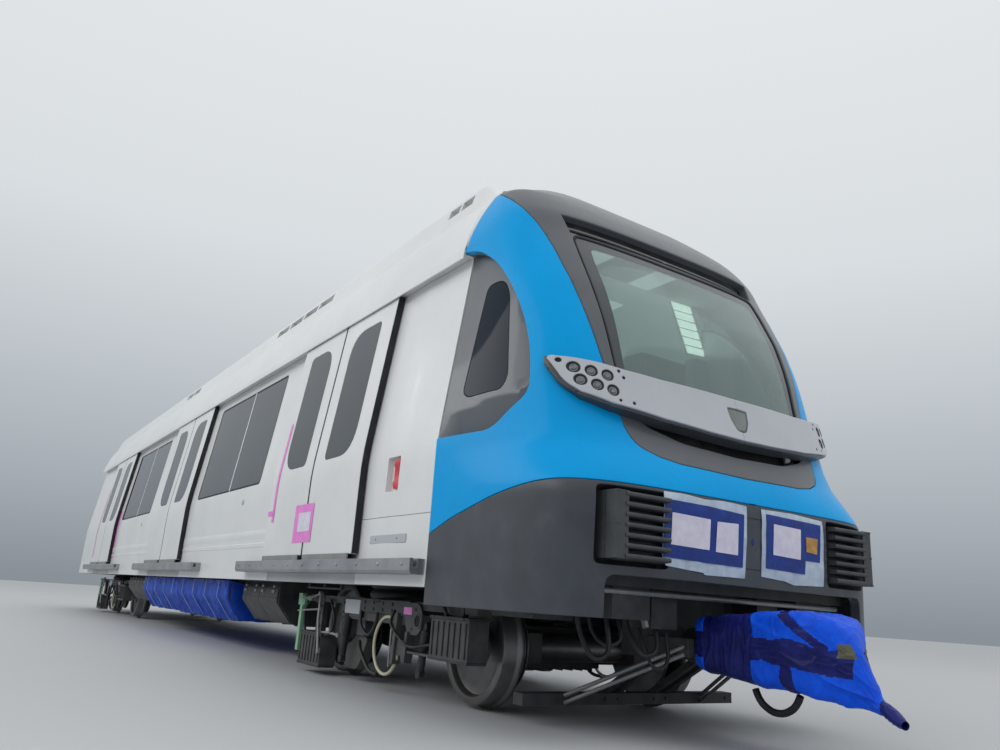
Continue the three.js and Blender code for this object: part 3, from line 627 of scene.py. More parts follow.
# Curves of the body and the nose
def softened(rows, column, reach, step=0.005):
    """One column of a table against its first, rounded over a reach. Gives (places, values)."""
    places = np.arange(rows[0][0] - 0.3, rows[-1][0] + 0.3, step)
    values = np.interp(places, [r[0] for r in rows], [r[column] for r in rows])
    first, last = rows[0], rows[-1]
    low, high = places < first[0], places > last[0]
    lead = (rows[1][column] - first[column]) / (rows[1][0] - first[0])
    tail = (last[column] - rows[-2][column]) / (last[0] - rows[-2][0])
    values[low] = first[column] + (places[low] - first[0]) * lead
    values[high] = last[column] + (places[high] - last[0]) * tail
    half = int(3 * reach / step)
    kernel = np.exp(-0.5 * (np.arange(-half, half + 1) * step / reach) ** 2)
    kernel /= kernel.sum()
    padded = np.concatenate([np.full(half, values[0]), values, np.full(half, values[-1])])
    return places, np.convolve(padded, kernel, "valid")


def wall_y(z, standoff=0.0):
    """Half width of the body side at a height: upright, then leaning in above a soft waist."""
    rise = (z - WAIST_Z) / WAIST_SOFTNESS
    eased = WAIST_SOFTNESS * np.logaddexp(0, rise)
    return HALF_WIDTH + standoff - LEAN * eased


# Level sections of the nose: height, front at the middle, half width at the joint, and how full
# the corner is (0 for the smooth upper nose, 1 for the square bumper).
NOSE = [
    (0.560, 1.296, 1.318, 1.0), (0.800, 1.300, 1.320, 1.0), (1.200, 1.310, 1.322, 1.0),
    (1.256, 1.304, 1.323, 0.9), (1.320, 1.292, 1.324, 0.65), (1.400, 1.262, 1.324, 0.35),
    (1.480, 1.222, 1.324, 0.1), (1.600, 1.174, 1.324, 0.0), (1.790, 1.120, 1.312, 0.0),
    (1.940, 1.080, 1.298, 0.0), (2.170, 1.025, 1.283, 0.0), (2.300, 0.985, 1.274, 0.0),
    (2.490, 0.910, 1.260, 0.0), (2.730, 0.780, 1.244, 0.0), (2.900, 0.680, 1.228, 0.0),
    (3.060, 0.612, 1.186, 0.0), (3.200, 0.500, 1.128, 0.0), (3.320, 0.375, 1.070, 0.0),
    (3.400, 0.280, 1.042, 0.0), (3.480, 0.170, 1.008, 0.0), (3.545, 0.060, 0.976, 0.0),
]
NOSE_BOTTOM = 0.600
NOSE_TOP = 3.545
FRONTS = softened(NOSE, 1, 0.035)
HALVES = softened(NOSE, 2, 0.05)
FULLNESS = softened(NOSE, 3, 0.02)
SPAN = 2.4


def nose_xy(t, z, out, flank, flat):
    """Level curve of the nose: t runs from 0 at the middle to 1 at the joint."""
    front = np.interp(z, *FRONTS) + out
    half = np.interp(z, *HALVES) + flank
    if flat:
        front = front - 0.014
        half = np.minimum(half, wall_y(z) + flank)
    full = np.clip(np.interp(z, *FULLNESS), 0, 1)
    mix = lambda a, b: a + (b - a) * full
    x1, y1 = front * mix(1, 1.015), half * mix(1.01, 1.1)
    x2, y2 = front * mix(0.85, 1.03), half * mix(0.985, 1.02)
    s = 1 - t
    x = s ** 3 * front + 3 * s * s * t * x1 + 3 * s * t * t * x2
    y = 3 * s * s * t * y1 + 3 * s * t * t * y2 + t ** 3 * half
    return x, y


CROWN_Z = 3.26
CROWN_FALL = 0.5


def crowned(z, share):
    """Heights over the roof's shoulder, pressed down where the roof falls to the nose."""
    up = np.maximum(z - CROWN_Z, 0.0)
    return z - up * CROWN_FALL * share * np.clip(up / 0.1, 0, 1)


def shoulder_share(t):
    """How far the crown has come down along a level curve: not at all in the middle of the nose."""
    part = np.clip((t - 0.15) / 0.5, 0, 1)
    return part * part * (3 - 2 * part)


def nose_place(out=0.0, flank=None, flat=False, lift=None):
    """A function that lays flat points (u, z) on the nose. lift(u, z) moves them along the
    surface's normal."""
    flank = out if flank is None else flank

    def surface(t, z):
        x, y = nose_xy(t, z, out, flank, flat)
        return np.column_stack([x, y, crowned(z, shoulder_share(t))])

    def normals_at(t, z):
        step = 0.004
        across = surface(np.minimum(t + step, 1.0), z) - surface(np.maximum(t - step, 0.0), z)
        upward = surface(t, z + step) - surface(t, z - step)
        normal = np.cross(across, upward)
        return normal / np.linalg.norm(normal, axis=1, keepdims=True)

    def lifted(t, z):
        base = surface(t, z)
        if lift is None:
            return base
        return base + normals_at(t, z) * lift(t * SPAN, z)[:, None]

    def place(flat_points):
        t, z = flat_points[:, 0] / SPAN, flat_points[:, 1]
        points = lifted(t, z)
        if lift is None:
            return points, normals_at(t, z)
        step = 0.003
        across = lifted(np.minimum(t + step, 1.0), z) - lifted(np.maximum(t - step, 0.0), z)
        upward = lifted(t, z + step) - lifted(t, z - step)
        normal = np.cross(across, upward)
        return points, normal / np.linalg.norm(normal, axis=1, keepdims=True)

    return place


def from_front(points, out=0.0, flank=None):
    """Front view (y, z) to the nose's own (u, z)."""
    flank = out if flank is None else flank
    low, high = np.zeros(len(points)), np.full(len(points), 0.97)
    for _ in range(30):
        middle = (low + high) / 2
        short = nose_xy(middle, points[:, 1], out, flank, False)[1] < points[:, 0]
        low = np.where(short, middle, low)
        high = np.where(short, high, middle)
    ends = nose_xy(high, points[:, 1], out, flank, False)[1] < points[:, 0] - 0.003
    t = np.where(ends, 1.0, (low + high) / 2)
    t[points[:, 0] < 1e-6] = 0.0
    return np.column_stack([t * SPAN, points[:, 1]])


def from_side(points):
    """Side view (x, z) to the nose's own (u, z)."""
    low, high = np.full(len(points), 0.02), np.ones(len(points))
    for _ in range(30):
        middle = (low + high) / 2
        ahead = nose_xy(middle, points[:, 1], 0, 0, False)[0] > points[:, 0]
        low = np.where(ahead, middle, low)
        high = np.where(ahead, high, middle)
    t = np.where(points[:, 0] < 0, 1 - points[:, 0] * 0.5, (low + high) / 2)
    return np.column_stack([t * SPAN, points[:, 1]])


# Outlines on the nose: side views are (x, z), front views are (y, z) for one half
APRON_EDGE = [(-0.06, 0.990), (0.0, 1.008), (0.25, 1.090), (0.69, 1.189), (0.99, 1.240),
              (1.12, 1.256), (1.50, 1.256)]
ARCH = [
    (-0.20, 1.594), (0.575, 1.567, 0.09), (0.812, 1.752, 0.09), (0.790, 1.90, 0.09), (0.758, 2.05, 0.09),
    (0.712, 2.19, 0.09), (0.629, 2.36, 0.09), (0.528, 2.51, 0.09), (0.404, 2.655, 0.09),
    (0.244, 2.775, 0.09), (0.108, 2.834, 0.09), (-0.20, 2.90),
]
QUARTER_GLASS = [
    (0.19, 1.85, 0.05), (0.262, 1.81, 0.04), (0.59, 1.81, 0.06), (0.625, 1.88, 0.04),
    (0.50, 2.44, 0.06), (0.42, 2.56, 0.07), (0.25, 2.56, 0.06),
]
# Outer edge of the grey surround, and the front edge of the white roof, as (share of the way
# from the middle to the joint, height).
SURROUND_EDGE = [
    (0.285, 1.82), (0.311, 1.966), (0.330, 2.104), (0.353, 2.254), (0.378, 2.415), (0.402, 2.566),
    (0.430, 2.742), (0.475, 2.906), (0.555, 3.025), (0.663, 3.145), (0.765, 3.231), (0.86, 3.300),
    (1.04, 3.420),
]
ROOF_EDGE = [(1.03, 2.80), (1.0, 2.87), (0.986, 3.02), (0.961, 3.17), (0.918, 3.27), (0.885, 3.36),
             (0.870, 3.46), (0.865, 3.60)]
SCREEN_BOTTOM = 1.865
SCREEN = [
    (0, SCREEN_BOTTOM), (0.792, SCREEN_BOTTOM), (0.822, 2.17), (0.849, 2.49), (0.852, 2.73),
    (0.845, 2.885, 0.06), (0, 2.88),
]
CLEAR = [
    (0, 1.85), (0.735, 1.85), (0.744, 2.08), (0.750, 2.29), (0.756, 2.50), (0.757, 2.70),
    (0.745, 2.80, 0.09), (0, 2.815),
]
DISPLAY = [(0, 2.902), (0.848, 2.902), (0.872, 3.04), (0, 3.04)]
# The lamp band: its silver face, and the graphite body that shows round it as a dark rim along the face's
# lower edge and tip, painted shade under the face.
BAND = [
    (0, 1.617), (0.275, 1.624), (0.60, 1.646), (0.906, 1.690), (1.062, 1.742), (1.129, 1.796, 0.04),
    (1.186, 1.944, 0.014), (1.172, 1.958, 0.01), (0.93, 1.921), (0.80, 1.900), (0.58, 1.884), (0, 1.879),
]
BAND_SHADE_BODY = [
    (0, 1.603), (0.275, 1.610), (0.62, 1.630), (0.910, 1.672), (1.070, 1.722), (1.152, 1.784, 0.04),
    (1.199, 1.902, 0.02), (1.197, 1.958, 0.01), (0.93, 1.925), (0.80, 1.903), (0.58, 1.887), (0, 1.882),
]
MASK = [
    (0, 1.405), (0.50, 1.416), (0.64, 1.436), (0.745, 1.475, 0.05), (0.79, 1.521, 0.04), (0.812, 1.59),
    (0.832, 1.72), (0, 1.72),
]
MASK_SLOT = [(0, 1.535), (0.43, 1.552, 0.05), (0.64, 1.605, 0.03), (0.735, 1.655, 0.02), (0.74, 1.70),
             (0, 1.70)]
BUMPER_OPENING = [(0, 0.40), (1.031, 0.40), (1.031, 0.805, 0.06), (0, 0.805)]
RIB_WINDOW = [(0.655, 0.854, 0.03), (1.092, 0.854, 0.03), (1.092, 1.234, 0.03), (0.655, 1.234, 0.03)]
LINE_STEP = 0.02
GRID_STEP = 0.030
BAND_OUT = 0.062
BAND_FLANK = 0.024


def apron_line():
    """The edge between the blue shell and the apron, from the middle to the joint."""
    places, heights = softened(APRON_EDGE, 1, 0.05)
    t = np.linspace(0, 1, 120)
    z = np.full(len(t), 1.25)
    for _ in range(12):
        z = np.interp(nose_xy(t, z, 0, 0, False)[0], places, heights)
    return np.column_stack([t * SPAN, z])


edge = apron_line()
APRON_AREA = np.vstack([edge, [(SPAN + 0.1, edge[-1, 1]), (SPAN + 0.1, 0.4), (-0.1, 0.4),
                               (-0.1, edge[0, 1])]])
FRONT = {
    "screen": SCREEN, "clear": CLEAR, "display": DISPLAY,
    "mask": MASK, "slot": MASK_SLOT, "opening": BUMPER_OPENING, "ribs": RIB_WINDOW,
}
AREAS = {name: from_front(finer(outline(half), LINE_STEP)) for name, half in FRONT.items()}
AREAS["gasket"] = from_front(finer(grown(outline([(-0.5, SCREEN_BOTTOM), *SCREEN[1:-1], (-0.5, 2.88)]),
                                         -0.011), LINE_STEP))
AREAS["gasket"][:, 0] = np.maximum(AREAS["gasket"][:, 0], 0.0)
AREAS["arch"] = from_side(finer(outline(ARCH, 10), LINE_STEP))
AREAS["pane"] = from_side(finer(outline(QUARTER_GLASS), LINE_STEP))
AREAS["apron"] = APRON_AREA


def beside(edge_rows, corners):
    """The area between a curved edge on the nose and a few far corners, in (u, z)."""
    line = curve_through(np.array(edge_rows) * [SPAN, 1.0], 6)
    return finer(np.vstack([line, corners]), LINE_STEP)


AREAS["surround"] = beside(SURROUND_EDGE, [(SPAN * 1.04, 3.65), (0.0, 3.65), (0.0, SURROUND_EDGE[0][1])])
AREAS["roof"] = beside(ROOF_EDGE, [(SPAN * 1.04, 3.60), (SPAN * 1.04, 2.80)])


def nose_cells():
    """The half nose, cut along every line between its panels."""
    frame_line = finer(np.array([(0, NOSE_BOTTOM), (SPAN, NOSE_BOTTOM), (SPAN, NOSE_TOP),
                                 (0, NOSE_TOP)], float), LINE_STEP)
    across = np.arange(GRID_STEP / 2, SPAN, GRID_STEP)
    upward = np.arange(NOSE_BOTTOM + GRID_STEP / 2, NOSE_TOP, GRID_STEP)
    grid = np.array([(u, z) for z in upward for u in across])
    flat, triangles, middles = cells([frame_line, *AREAS.values()], grid, GRID_STEP * 0.45)
    within = ((middles[:, 0] > 0) & (middles[:, 0] < SPAN)
              & (middles[:, 1] > NOSE_BOTTOM) & (middles[:, 1] < NOSE_TOP))
    return flat, triangles[within], middles[within]


NOSE_FLAT, NOSE_TRIANGLES, NOSE_MIDDLES = nose_cells()
IN = {name: inside(area, NOSE_MIDDLES) for name, area in AREAS.items()}
SHELL_CUTS = IN["apron"] | IN["arch"] | IN["surround"] | IN["mask"] | IN["screen"] | IN["roof"]


def nose_sheet(chosen, place):
    """The chosen cells of the nose, laid on it."""
    return laid(NOSE_FLAT, NOSE_TRIANGLES[chosen], place)


def panel_fall(u, z):
    """How far the quarter panel falls away below its crease and ahead of its ridge."""
    x = nose_xy(u / SPAN, z, 0, 0, False)[0]
    crease = np.interp(x, [0.0, 0.40, 0.73, 0.83], [1.742, 1.754, 1.777, 1.86])
    ridge = np.interp(z, [1.75, 1.83, 1.92, 2.01, 2.21, 2.50, 2.80],
                      [0.70, 0.672, 0.664, 0.656, 0.628, 0.549, 0.40])
    below = np.maximum(crease - z, 0.0) * np.clip(x / 0.2, 0, 1)
    ahead = np.maximum(x - ridge, 0.0) * np.clip((z - crease) / 0.08, 0, 1)
    return -0.26 * below - 0.30 * ahead


def make_nose():
    """Every panel of the nose: shell, surround, glass, mask, apron and quarter panels."""
    plain = nose_place()
    shell = doubled(nose_sheet(~SHELL_CUTS, plain))
    plate("cab_shell_blue", shell, 0.045, BLUE_LACQUER, radius=0.004, slot="blue_paint",
          replaces=["cab_shell"])
    around = IN["surround"] & ~IN["screen"] & ~IN["display"] & ~IN["arch"] & ~IN["roof"]
    surround = doubled(nose_sheet(around, plain))
    plate("windscreen_frame", surround, 0.055, GREY_LACQUER, radius=0.010, steps=4,
          slot="grey_paint", replaces=["windscreen_surround"])
    cap = doubled(nose_sheet(IN["roof"] & ~IN["arch"], plain))
    plate("roof_front_cap", cap, 0.05, WHITE_LACQUER, radius=0.004, slot="white_paint")
    rubber = doubled(nose_sheet(IN["screen"] & ~IN["gasket"], nose_place(-0.004)))
    plate("windscreen_gasket", rubber, 0.02, RUBBER, seam=0.0, radius=0.003)
    border = doubled(nose_sheet(IN["gasket"] & ~IN["clear"], nose_place(-0.011)))
    plate("windscreen_border", border, 0.012, GLASS_BORDER, seam=0.0005, radius=0.001, steps=1)
    screen, screen_back = (doubled(nose_sheet(IN["gasket"] & IN["clear"], nose_place(out)))
                           for out in (-0.0112, -0.0232))
    glass = [screen.points, screen_back.points], [screen.normals, -screen_back.normals]
    faces = np.vstack([screen.faces, screen_back.faces[:, ::-1] + len(screen.points)])
    piece("windscreen_pane", np.vstack(glass[0]), faces, SCREEN_GLASS, np.vstack(glass[1]),
          slot="screen_glass", replaces=["windscreen"])
    mask = doubled(nose_sheet(IN["mask"] & ~IN["slot"], plain))
    plate("mask_panel", mask, 0.05, GREY_LACQUER, radius=0.006, slot="grey_paint",
          replaces=["lower_mask"])
    slot_back = doubled(nose_sheet(IN["mask"] & IN["slot"], nose_place(-0.048)))
    plate("mask_slot_back", slot_back, 0.01, SHADOW_BLACK, seam=-0.01)
    apron = IN["apron"] & ~IN["opening"] & ~IN["ribs"]
    plate("apron_panel", doubled(nose_sheet(apron, plain)), 0.055, SLATE, radius=0.005,
          slot="slate_paint", replaces=["cab_apron", "apron_corner_left", "apron_corner_right"])
    for side, sign in SIDES.items():
        turn = (lambda s: s) if sign > 0 else flipped
        panel = nose_sheet(IN["arch"] & ~IN["pane"], nose_place(-0.006, flat=True, lift=panel_fall))
        plate(f"quarter_skin_{side}", turn(panel), 0.04, PANEL_GREY, slot="grey_paint",
              replaces=[f"quarter_panel_{side}"])
        pane = nose_sheet(IN["arch"] & IN["pane"], nose_place(-0.009, flat=True))
        plate(f"quarter_pane_{side}", turn(pane), 0.01, QUARTER_TINTED, slot="tinted_glass",
              replaces=[f"quarter_glass_{side}"])
        # A black sheet behind each quarter panel: painted shade where one looks past the panel's edges into
        # the nose.
        backing = nose_sheet(IN["arch"], nose_place(-0.10, flat=True))
        plate(f"quarter_backing_{side}", turn(backing), 0.01, SHADOW_BLACK, seam=-0.02)


def lamp_places():
    """Lamps on one side of the band: (y, z, radius). The last rows are small screws and nozzles."""
    rows = [(0.914 + 0.0835 * k, 1.852 + 0.0165 * k, 0.033) for k in range(3)]
    rows += [(0.896 + 0.0805 * k, 1.766 + 0.0230 * k, 0.033) for k in range(3)]
    small = [(1.142, 1.927, 0.014), (0.846, 1.886, 0.009), (0.823, 1.850, 0.009),
             (0.864, 1.711, 0.008), (0.786, 1.705, 0.009)]
    return rows, small


CAMERA_WINDOW = [(0, 1.668), (0.040, 1.674, 0.02), (0.074, 1.735), (0.086, 1.812, 0.014), (0, 1.816)]
CAMERA_RIM = 0.008
BAND_BULGE = 0.030
BAND_REACH = 1.15


def band_bulge(u, z):
    """The band stands further off the nose in the middle than at its tips, at any height z."""
    return BAND_BULGE * np.clip(1 - (u / BAND_REACH) ** 2, 0, 1)


def circle(y, z, radius):
    """A round hole in the front view."""
    return round_spots(radius, 28) + (y, z)


def on_band(line):
    """A line of the front view laid on the band."""
    return from_front(line, BAND_OUT, BAND_FLANK)


def band_place(sunk=0.0, flank=BAND_FLANK):
    """Lays points on the band's face, or sunk below it."""
    return nose_place(BAND_OUT - sunk, flank, lift=band_bulge)


def make_band():
    """A thin silver face over a graphite body whose dark rim is painted shade, with round wells for the
    lamps and a camera window.
    """
    lamps, small = lamp_places()
    band_line = on_band(finer(outline(BAND), 0.015))
    body_line = on_band(finer(outline(BAND_SHADE_BODY), 0.02))
    holes = [on_band(circle(*row)) for row in [*lamps, *small]]
    window = on_band(finer(outline(CAMERA_WINDOW), 0.01))
    whole = outline([(-0.2, 1.668), *CAMERA_WINDOW[1:-1], (-0.2, 1.816)])
    rim = on_band(finer(grown(whole, -CAMERA_RIM), 0.01))
    rim[:, 0] = np.maximum(rim[:, 0], 0.0)
    grid = np.array([(u, z) for z in np.arange(1.60, 1.99, 0.02) for u in np.arange(0.01, 2.0, 0.02)])
    flat, triangles, middles = cells([band_line, window, rim, *holes], grid, 0.007)
    solid_area = inside(band_line, middles) & ~inside(window, middles)
    for hole in holes:
        solid_area &= ~inside(hole, middles)
    sheet = doubled(laid(flat, triangles[solid_area], band_place()))
    plate("lamp_band_plate", sheet, 0.012, SILVER_LACQUER, seam=0.0, radius=0.005, steps=4,
          slot="silver_paint", replaces=["lamp_band"])
    flat_body, body_triangles, body_middles = cells([body_line], grid, 0.01)
    body = doubled(laid(flat_body, body_triangles[inside(body_line, body_middles)],
                        band_place(0.011, BAND_FLANK - 0.011)))
    plate("lamp_band_shade_body", body, 0.080, GRAPHITE, seam=0.0, radius=0.009, steps=4)
    in_window = inside(window, middles)
    in_rim = inside(rim, middles)
    border = doubled(laid(flat, triangles[in_window & ~in_rim], band_place(0.003)))
    plate("camera_border", border, 0.008, GRAPHITE, seam=0.0, radius=0.0015, steps=1)
    glass = doubled(laid(flat, triangles[in_window & in_rim], band_place(0.005)))
    plate("camera_window", glass, 0.006, CAMERA_GLASS, seam=0.0, radius=0.0005, steps=1)
    make_lamps(lamps, small)


def make_lamps(lamps, small):
    """A dark bezel, a bright bowl and a domed lens in each lamp hole."""
    bezels, bowls, lenses, plugs = [], [], [], []
    for sign in (1, -1):
        for y, z, radius in [*lamps, *small]:
            spot = on_band(np.array([(y, z)]))
            point, normal = (v[0] * np.array([1, sign, 1]) for v in band_place()(spot))
            if radius > 0.02:
                bezels.append(revolved([(radius * 1.02, -0.003), (radius * 0.88, -0.004),
                                        (radius * 0.74, -0.0085), (radius * 0.70, -0.0095)],
                                       point, normal, 28))
                bowls.append(revolved([(radius * 0.72, -0.0092), (radius * 0.5, -0.0100),
                                       (0.001, -0.0104)], point, normal, 28))
                lenses.append(revolved([(radius * 0.60, -0.0088), (radius * 0.45, -0.0055),
                                        (radius * 0.25, -0.0035), (0.0005, -0.003)],
                                       point, normal, 28))
            else:
                plugs.append(revolved([(radius * 1.05, -0.004), (radius * 0.6, -0.007),
                                       (0.0005, -0.007)], point, normal, 16))
    piece("lamp_bezels", *merged(bezels), RUBBER)
    piece("lamp_bowls", *merged(bowls), LAMP_BOWL)
    piece("lamp_lenses", *merged(lenses), LAMP_LENS)
    piece("band_plugs", *merged(plugs), SHADOW_BLACK)


DISPLAY_LEDGE_Z = 2.945


def make_display():
    """The slot over the windscreen: a dark box, smoked glass before it, and the glass's lower edge."""
    back = doubled(nose_sheet(IN["display"], nose_place(-0.09)))
    plate("display_box", back, 0.01, SHADOW_BLACK, seam=-0.03)
    window = doubled(nose_sheet(IN["display"] & (NOSE_MIDDLES[:, 1] > DISPLAY_LEDGE_Z),
                                nose_place(-0.05)))
    plate("display_window", window, 0.008, BLACK_PANEL, seam=0.004, slot="black_panel",
          replaces=["destination_window"])
    y = np.linspace(0, 0.83, 40)
    spots = from_front(np.column_stack([y, np.full(len(y), DISPLAY_LEDGE_Z)]), -0.046)
    points, _ = nose_place(-0.046)(spots)
    path = np.vstack([points[::-1] * FLIP, points[1:]])
    piece("display_ledge", *tube(path, 0.0025, 8), GRAPHITE)


def make_anticlimbers():
    """Seven level ribs on each side with dark round-ended slots between them, beside a smooth
    outer block, all standing in a black recess."""
    ribs = 7
    z0, z1, thick = 0.880, 1.208, 0.030
    y0, y1, y_block = 0.682, 1.048, 0.968
    root, tip, back = 1.268, 1.352, 1.1403
    pitch = (z1 - z0 - thick) / (ribs - 1)
    for side, sign in SIDES.items():
        parts = []
        for k in range(ribs):
            z = z0 + k * pitch
            profile = outline([(root - 0.02, z - 0.004), (tip, z + 0.004, 0.012),
                               (tip, z + thick - 0.004, 0.012), (root - 0.02, z + thick + 0.004)], 5)
            parts.append(skinned([across_y(profile, sign * y)
                                  for y in np.linspace(y0, y_block + 0.02, 5)]))
        for k in range(ribs - 1):
            low, high = z0 + k * pitch + thick, z0 + (k + 1) * pitch
            foot = root - 0.01
            web = outline([(foot, low - 0.004), (root + 0.012, low - 0.004), (tip - 0.012, low - 0.002),
                           (tip - 0.012, high + 0.002), (root + 0.012, high + 0.004), (foot, high + 0.004)])
            rings = []
            for inward, share in ((0.028, 0.05), (0.018, 0.55), (0.004, 0.86), (-0.012, 1.0), (-0.03, 1.0)):
                swollen = np.column_stack([foot + (web[:, 0] - foot) * share, web[:, 1]])
                rings.append(across_y(swollen, sign * (y_block - inward)))
            parts.append(skinned(rings))
        blocks = [block(back, root, y0, y1, z0, z1),
                  block(root - 0.005, tip - 0.006, y_block, y1, z0, z1),
                  *[block(root, tip - 0.003, y1 - 0.02, y1 + 0.001, z, z + 0.012)
                    for z in (z0, (z0 + z1) / 2 - 0.002, z1 - 0.012)]]
        fitted(f"anticlimber_ribs_{side}", parts + sided(blocks, sign), RIB_PAINT, 0.004, 40,
               slot="slate_paint", replaces=[f"anticlimber_{side}"])
        well = block(1.135, 1.20, 0.64, 1.105, 0.842, 1.246)
        fitted(f"anticlimber_well_{side}", [on_side(well, sign)], SHADOW_BLACK, 0.004, 40)


GLASS_BORDER = smooth_black("grey_fired_border", "#343b40", 0.15, 0.3)
# Graphite paint: the real colour of the camera border and the display ledge, and painted shade on the body
# round the lamp band.
GRAPHITE = lacquer("graphite_moulding_and_painted_shade", "#3a3d40", "#46494b", 0.3, 0.25, peel=0.00008)
CAMERA_GLASS = smooth_black("grey_camera_glass", "#59605c", 0.08, 1.0)
PANEL_GREY = lacquer("mid_grey_lacquer", "#565b60", "#4e5257", 0.32, 0.3)
RIB_PAINT = grimy_steel("cast_rib_paint", "#373b3e", "#4c4f50", 0.5)


def lamp_bowl():
    """Metallised reflector: bright, with faint mottling about 6 mm across."""
    material = new_material("metallised_reflector", Metallic=1.0, Base_Color=tone("#8f9296"))
    rough_between(material, speckle(material, 0.006, 2.0), 0.2, 0.4)
    return material


def lamp_lens():
    """Polycarbonate lamp cover, slightly smoked, with faint smears about 10 mm across."""
    material = new_material("polycarbonate_lens", Base_Color=tone("#b9bcc0"), IOR=1.58,
                            Transmission_Weight=0.9)
    rough_between(material, speckle(material, 0.01, 4.0), 0.04, 0.2)
    return material


LAMP_BOWL = lamp_bowl()
LAMP_LENS = lamp_lens()


# Doors and side walls. Side views are (x, z).
DOOR_PITCH = 5.155
DOOR_CENTRES = [-1.928 - DOOR_PITCH * k for k in range(3)]
LEAF_WIDTH = 0.950
LEAF_GAP = 0.003
LEAF_SKIN_BOTTOM = 0.900
LEAF_TOP = 2.840
LEAF_OUT = 0.058
LEAF_WINDOW = [(0.200, 1.630, 0.06), (0.735, 1.630, 0.24), (0.735, 2.700, 0.06), (0.200, 2.700, 0.24)]
BAY = {"rear": -3.932, "front": -1.552, "z0": 1.607, "z1": 2.730, "radius": 0.05, "mullion": -2.589}
RAIL_LENGTH = 3.480
RAIL_AHEAD = 1.911
HANDLE_BOX = (-0.642, -0.471, 1.305, 1.532)
WALL_STRIPS_Z = np.concatenate([np.arange(0.74, 1.40, 0.16), np.arange(1.40, 1.78, 0.03),
                                np.arange(1.86, 2.84, 0.16)])


def wall_place(sign, standoff=0.0, dent=None):
    """Lays flat points (x, z) on the body side. dent(x, z) moves them in or out."""

    def height(x, z):
        y = wall_y(z, standoff)
        return y if dent is None else y + dent(x, z)

    def place(flat):
        x, z = flat[:, 0], flat[:, 1]
        step = 0.004
        slope_z = (height(x, z + step) - height(x, z - step)) / (2 * step)
        slope_x = (height(x + step, z) - height(x - step, z)) / (2 * step)
        points = np.column_stack([x, sign * height(x, z), z])
        normals = np.column_stack([-slope_x, np.full(len(x), sign * 1.0), -slope_z * 1.0])
        normals /= np.linalg.norm(normals, axis=1, keepdims=True)
        return points, normals

    return place


def strip_grid(x0, x1, step=0.3, levels=WALL_STRIPS_Z):
    return np.array([(x, z) for z in levels for x in np.arange(x0 + step / 2, x1, step)])


def rectangle(x0, x1, z0, z1, radius=0.0):
    return [(x0, z0, radius), (x1, z0, radius), (x1, z1, radius), (x0, z1, radius)]


def bay_outline(centre, by=0.0):
    ends = rectangle(centre + BAY["rear"], centre + BAY["front"], BAY["z0"], BAY["z1"], BAY["radius"])
    return grown(outline(ends), by)


def wall_stretches():
    """The wall's plain stretches between the door pairs: (rear end, front end, has windows)."""
    half = LEAF_WIDTH + LEAF_GAP
    ends = [0.0]
    for centre in DOOR_CENTRES:
        ends.extend([centre + half - 0.02, centre - half + 0.02])
    ends.append(WALL_REAR)
    return [(ends[2 * k + 1], ends[2 * k], k in (1, 2)) for k in range(4)]


SEAM_Z = 1.136
PLATE_BOX = (-0.803, -0.284, 0.967, 1.020)


def front_dent(x, z):
    """The last wall panel bows out softly along an upright crease ahead of the door, at any height z."""
    return 0.006 * np.exp(-((x + 0.60) / 0.16) ** 2)


def stretch_line(x0, x1, top):
    """Outline of a stretch of wall up to a height."""
    return finer(np.array([(x0, BODY_BOTTOM), (x1, BODY_BOTTOM), (x1, top), (x0, top)]), 0.05)


def make_walls():
    """The body side's panels, with what lies behind and beside the doors."""
    for side, sign in SIDES.items():
        for k, (x0, x1, windows) in enumerate(wall_stretches()):
            name = f"wall_{k}_{side}"
            frame_line = stretch_line(x0, x1, EAVES_Z)
            lines = [frame_line]
            holes = []
            dent = None
            if windows:
                holes.append(bay_outline(DOOR_CENTRES[k - 1], 0.004))
            if k == 0:
                dent = front_dent
                holes.append(outline(rectangle(*HANDLE_BOX, 0.012)))
                lines.append(stretch_line(x0, x1, SEAM_Z))
            spacing = 0.12 if k == 0 else 0.5
            flat, triangles, middles = cells([*lines, *holes], strip_grid(x0, x1, spacing), 0.02)
            keep = inside(frame_line, middles)
            for hole in holes:
                keep &= ~inside(hole, middles)
            low = middles[:, 1] < SEAM_Z
            panels = [(name, keep, 0.003, ())]
            if k == 0:
                panels = [(f"{name}_low", keep & low, 0.002, ()),
                          (f"{name}_high", keep & ~low, 0.002, [f"side_wall_{side}"])]
            for title, chosen, radius, replaced in panels:
                plate(title, laid(flat, triangles[chosen], wall_place(sign, 0.0, dent)), 0.05,
                      WHITE_LACQUER, radius=radius, slot="white_paint", replaces=replaced)
        for k, centre in enumerate(DOOR_CENTRES, 1):
            make_jambs(k, centre, side, sign)
        make_handle(side, sign)
        make_rails(side, sign)


def make_jambs(k, centre, side, sign):
    """The wall behind a door pair: pale sills above and below the leaves and beside the opening."""
    half = LEAF_WIDTH + LEAF_GAP - 0.02
    opening, sill, head = 0.650, 0.900, 2.780
    parts = []
    rows = [(-half, half, BODY_BOTTOM, sill), (-half, -opening, sill, EAVES_Z),
            (opening, half, sill, EAVES_Z), (-opening, opening, head, EAVES_Z)]
    for rear, front, z0, z1 in rows:
        x0, x1 = centre + rear, centre + front
        rings = []
        for z in np.linspace(z0, z1, 9):
            out, back = wall_y(z, -0.002) * sign, wall_y(z, -0.07) * sign
            rings.append(np.array([(x0, out, z), (x1, out, z), (x1, back, z), (x0, back, z)]))
        parts.append(skinned(rings))
    fitted(f"door_jamb_{k}_{side}", parts, JAMB_WHITE, 0.0, 35)


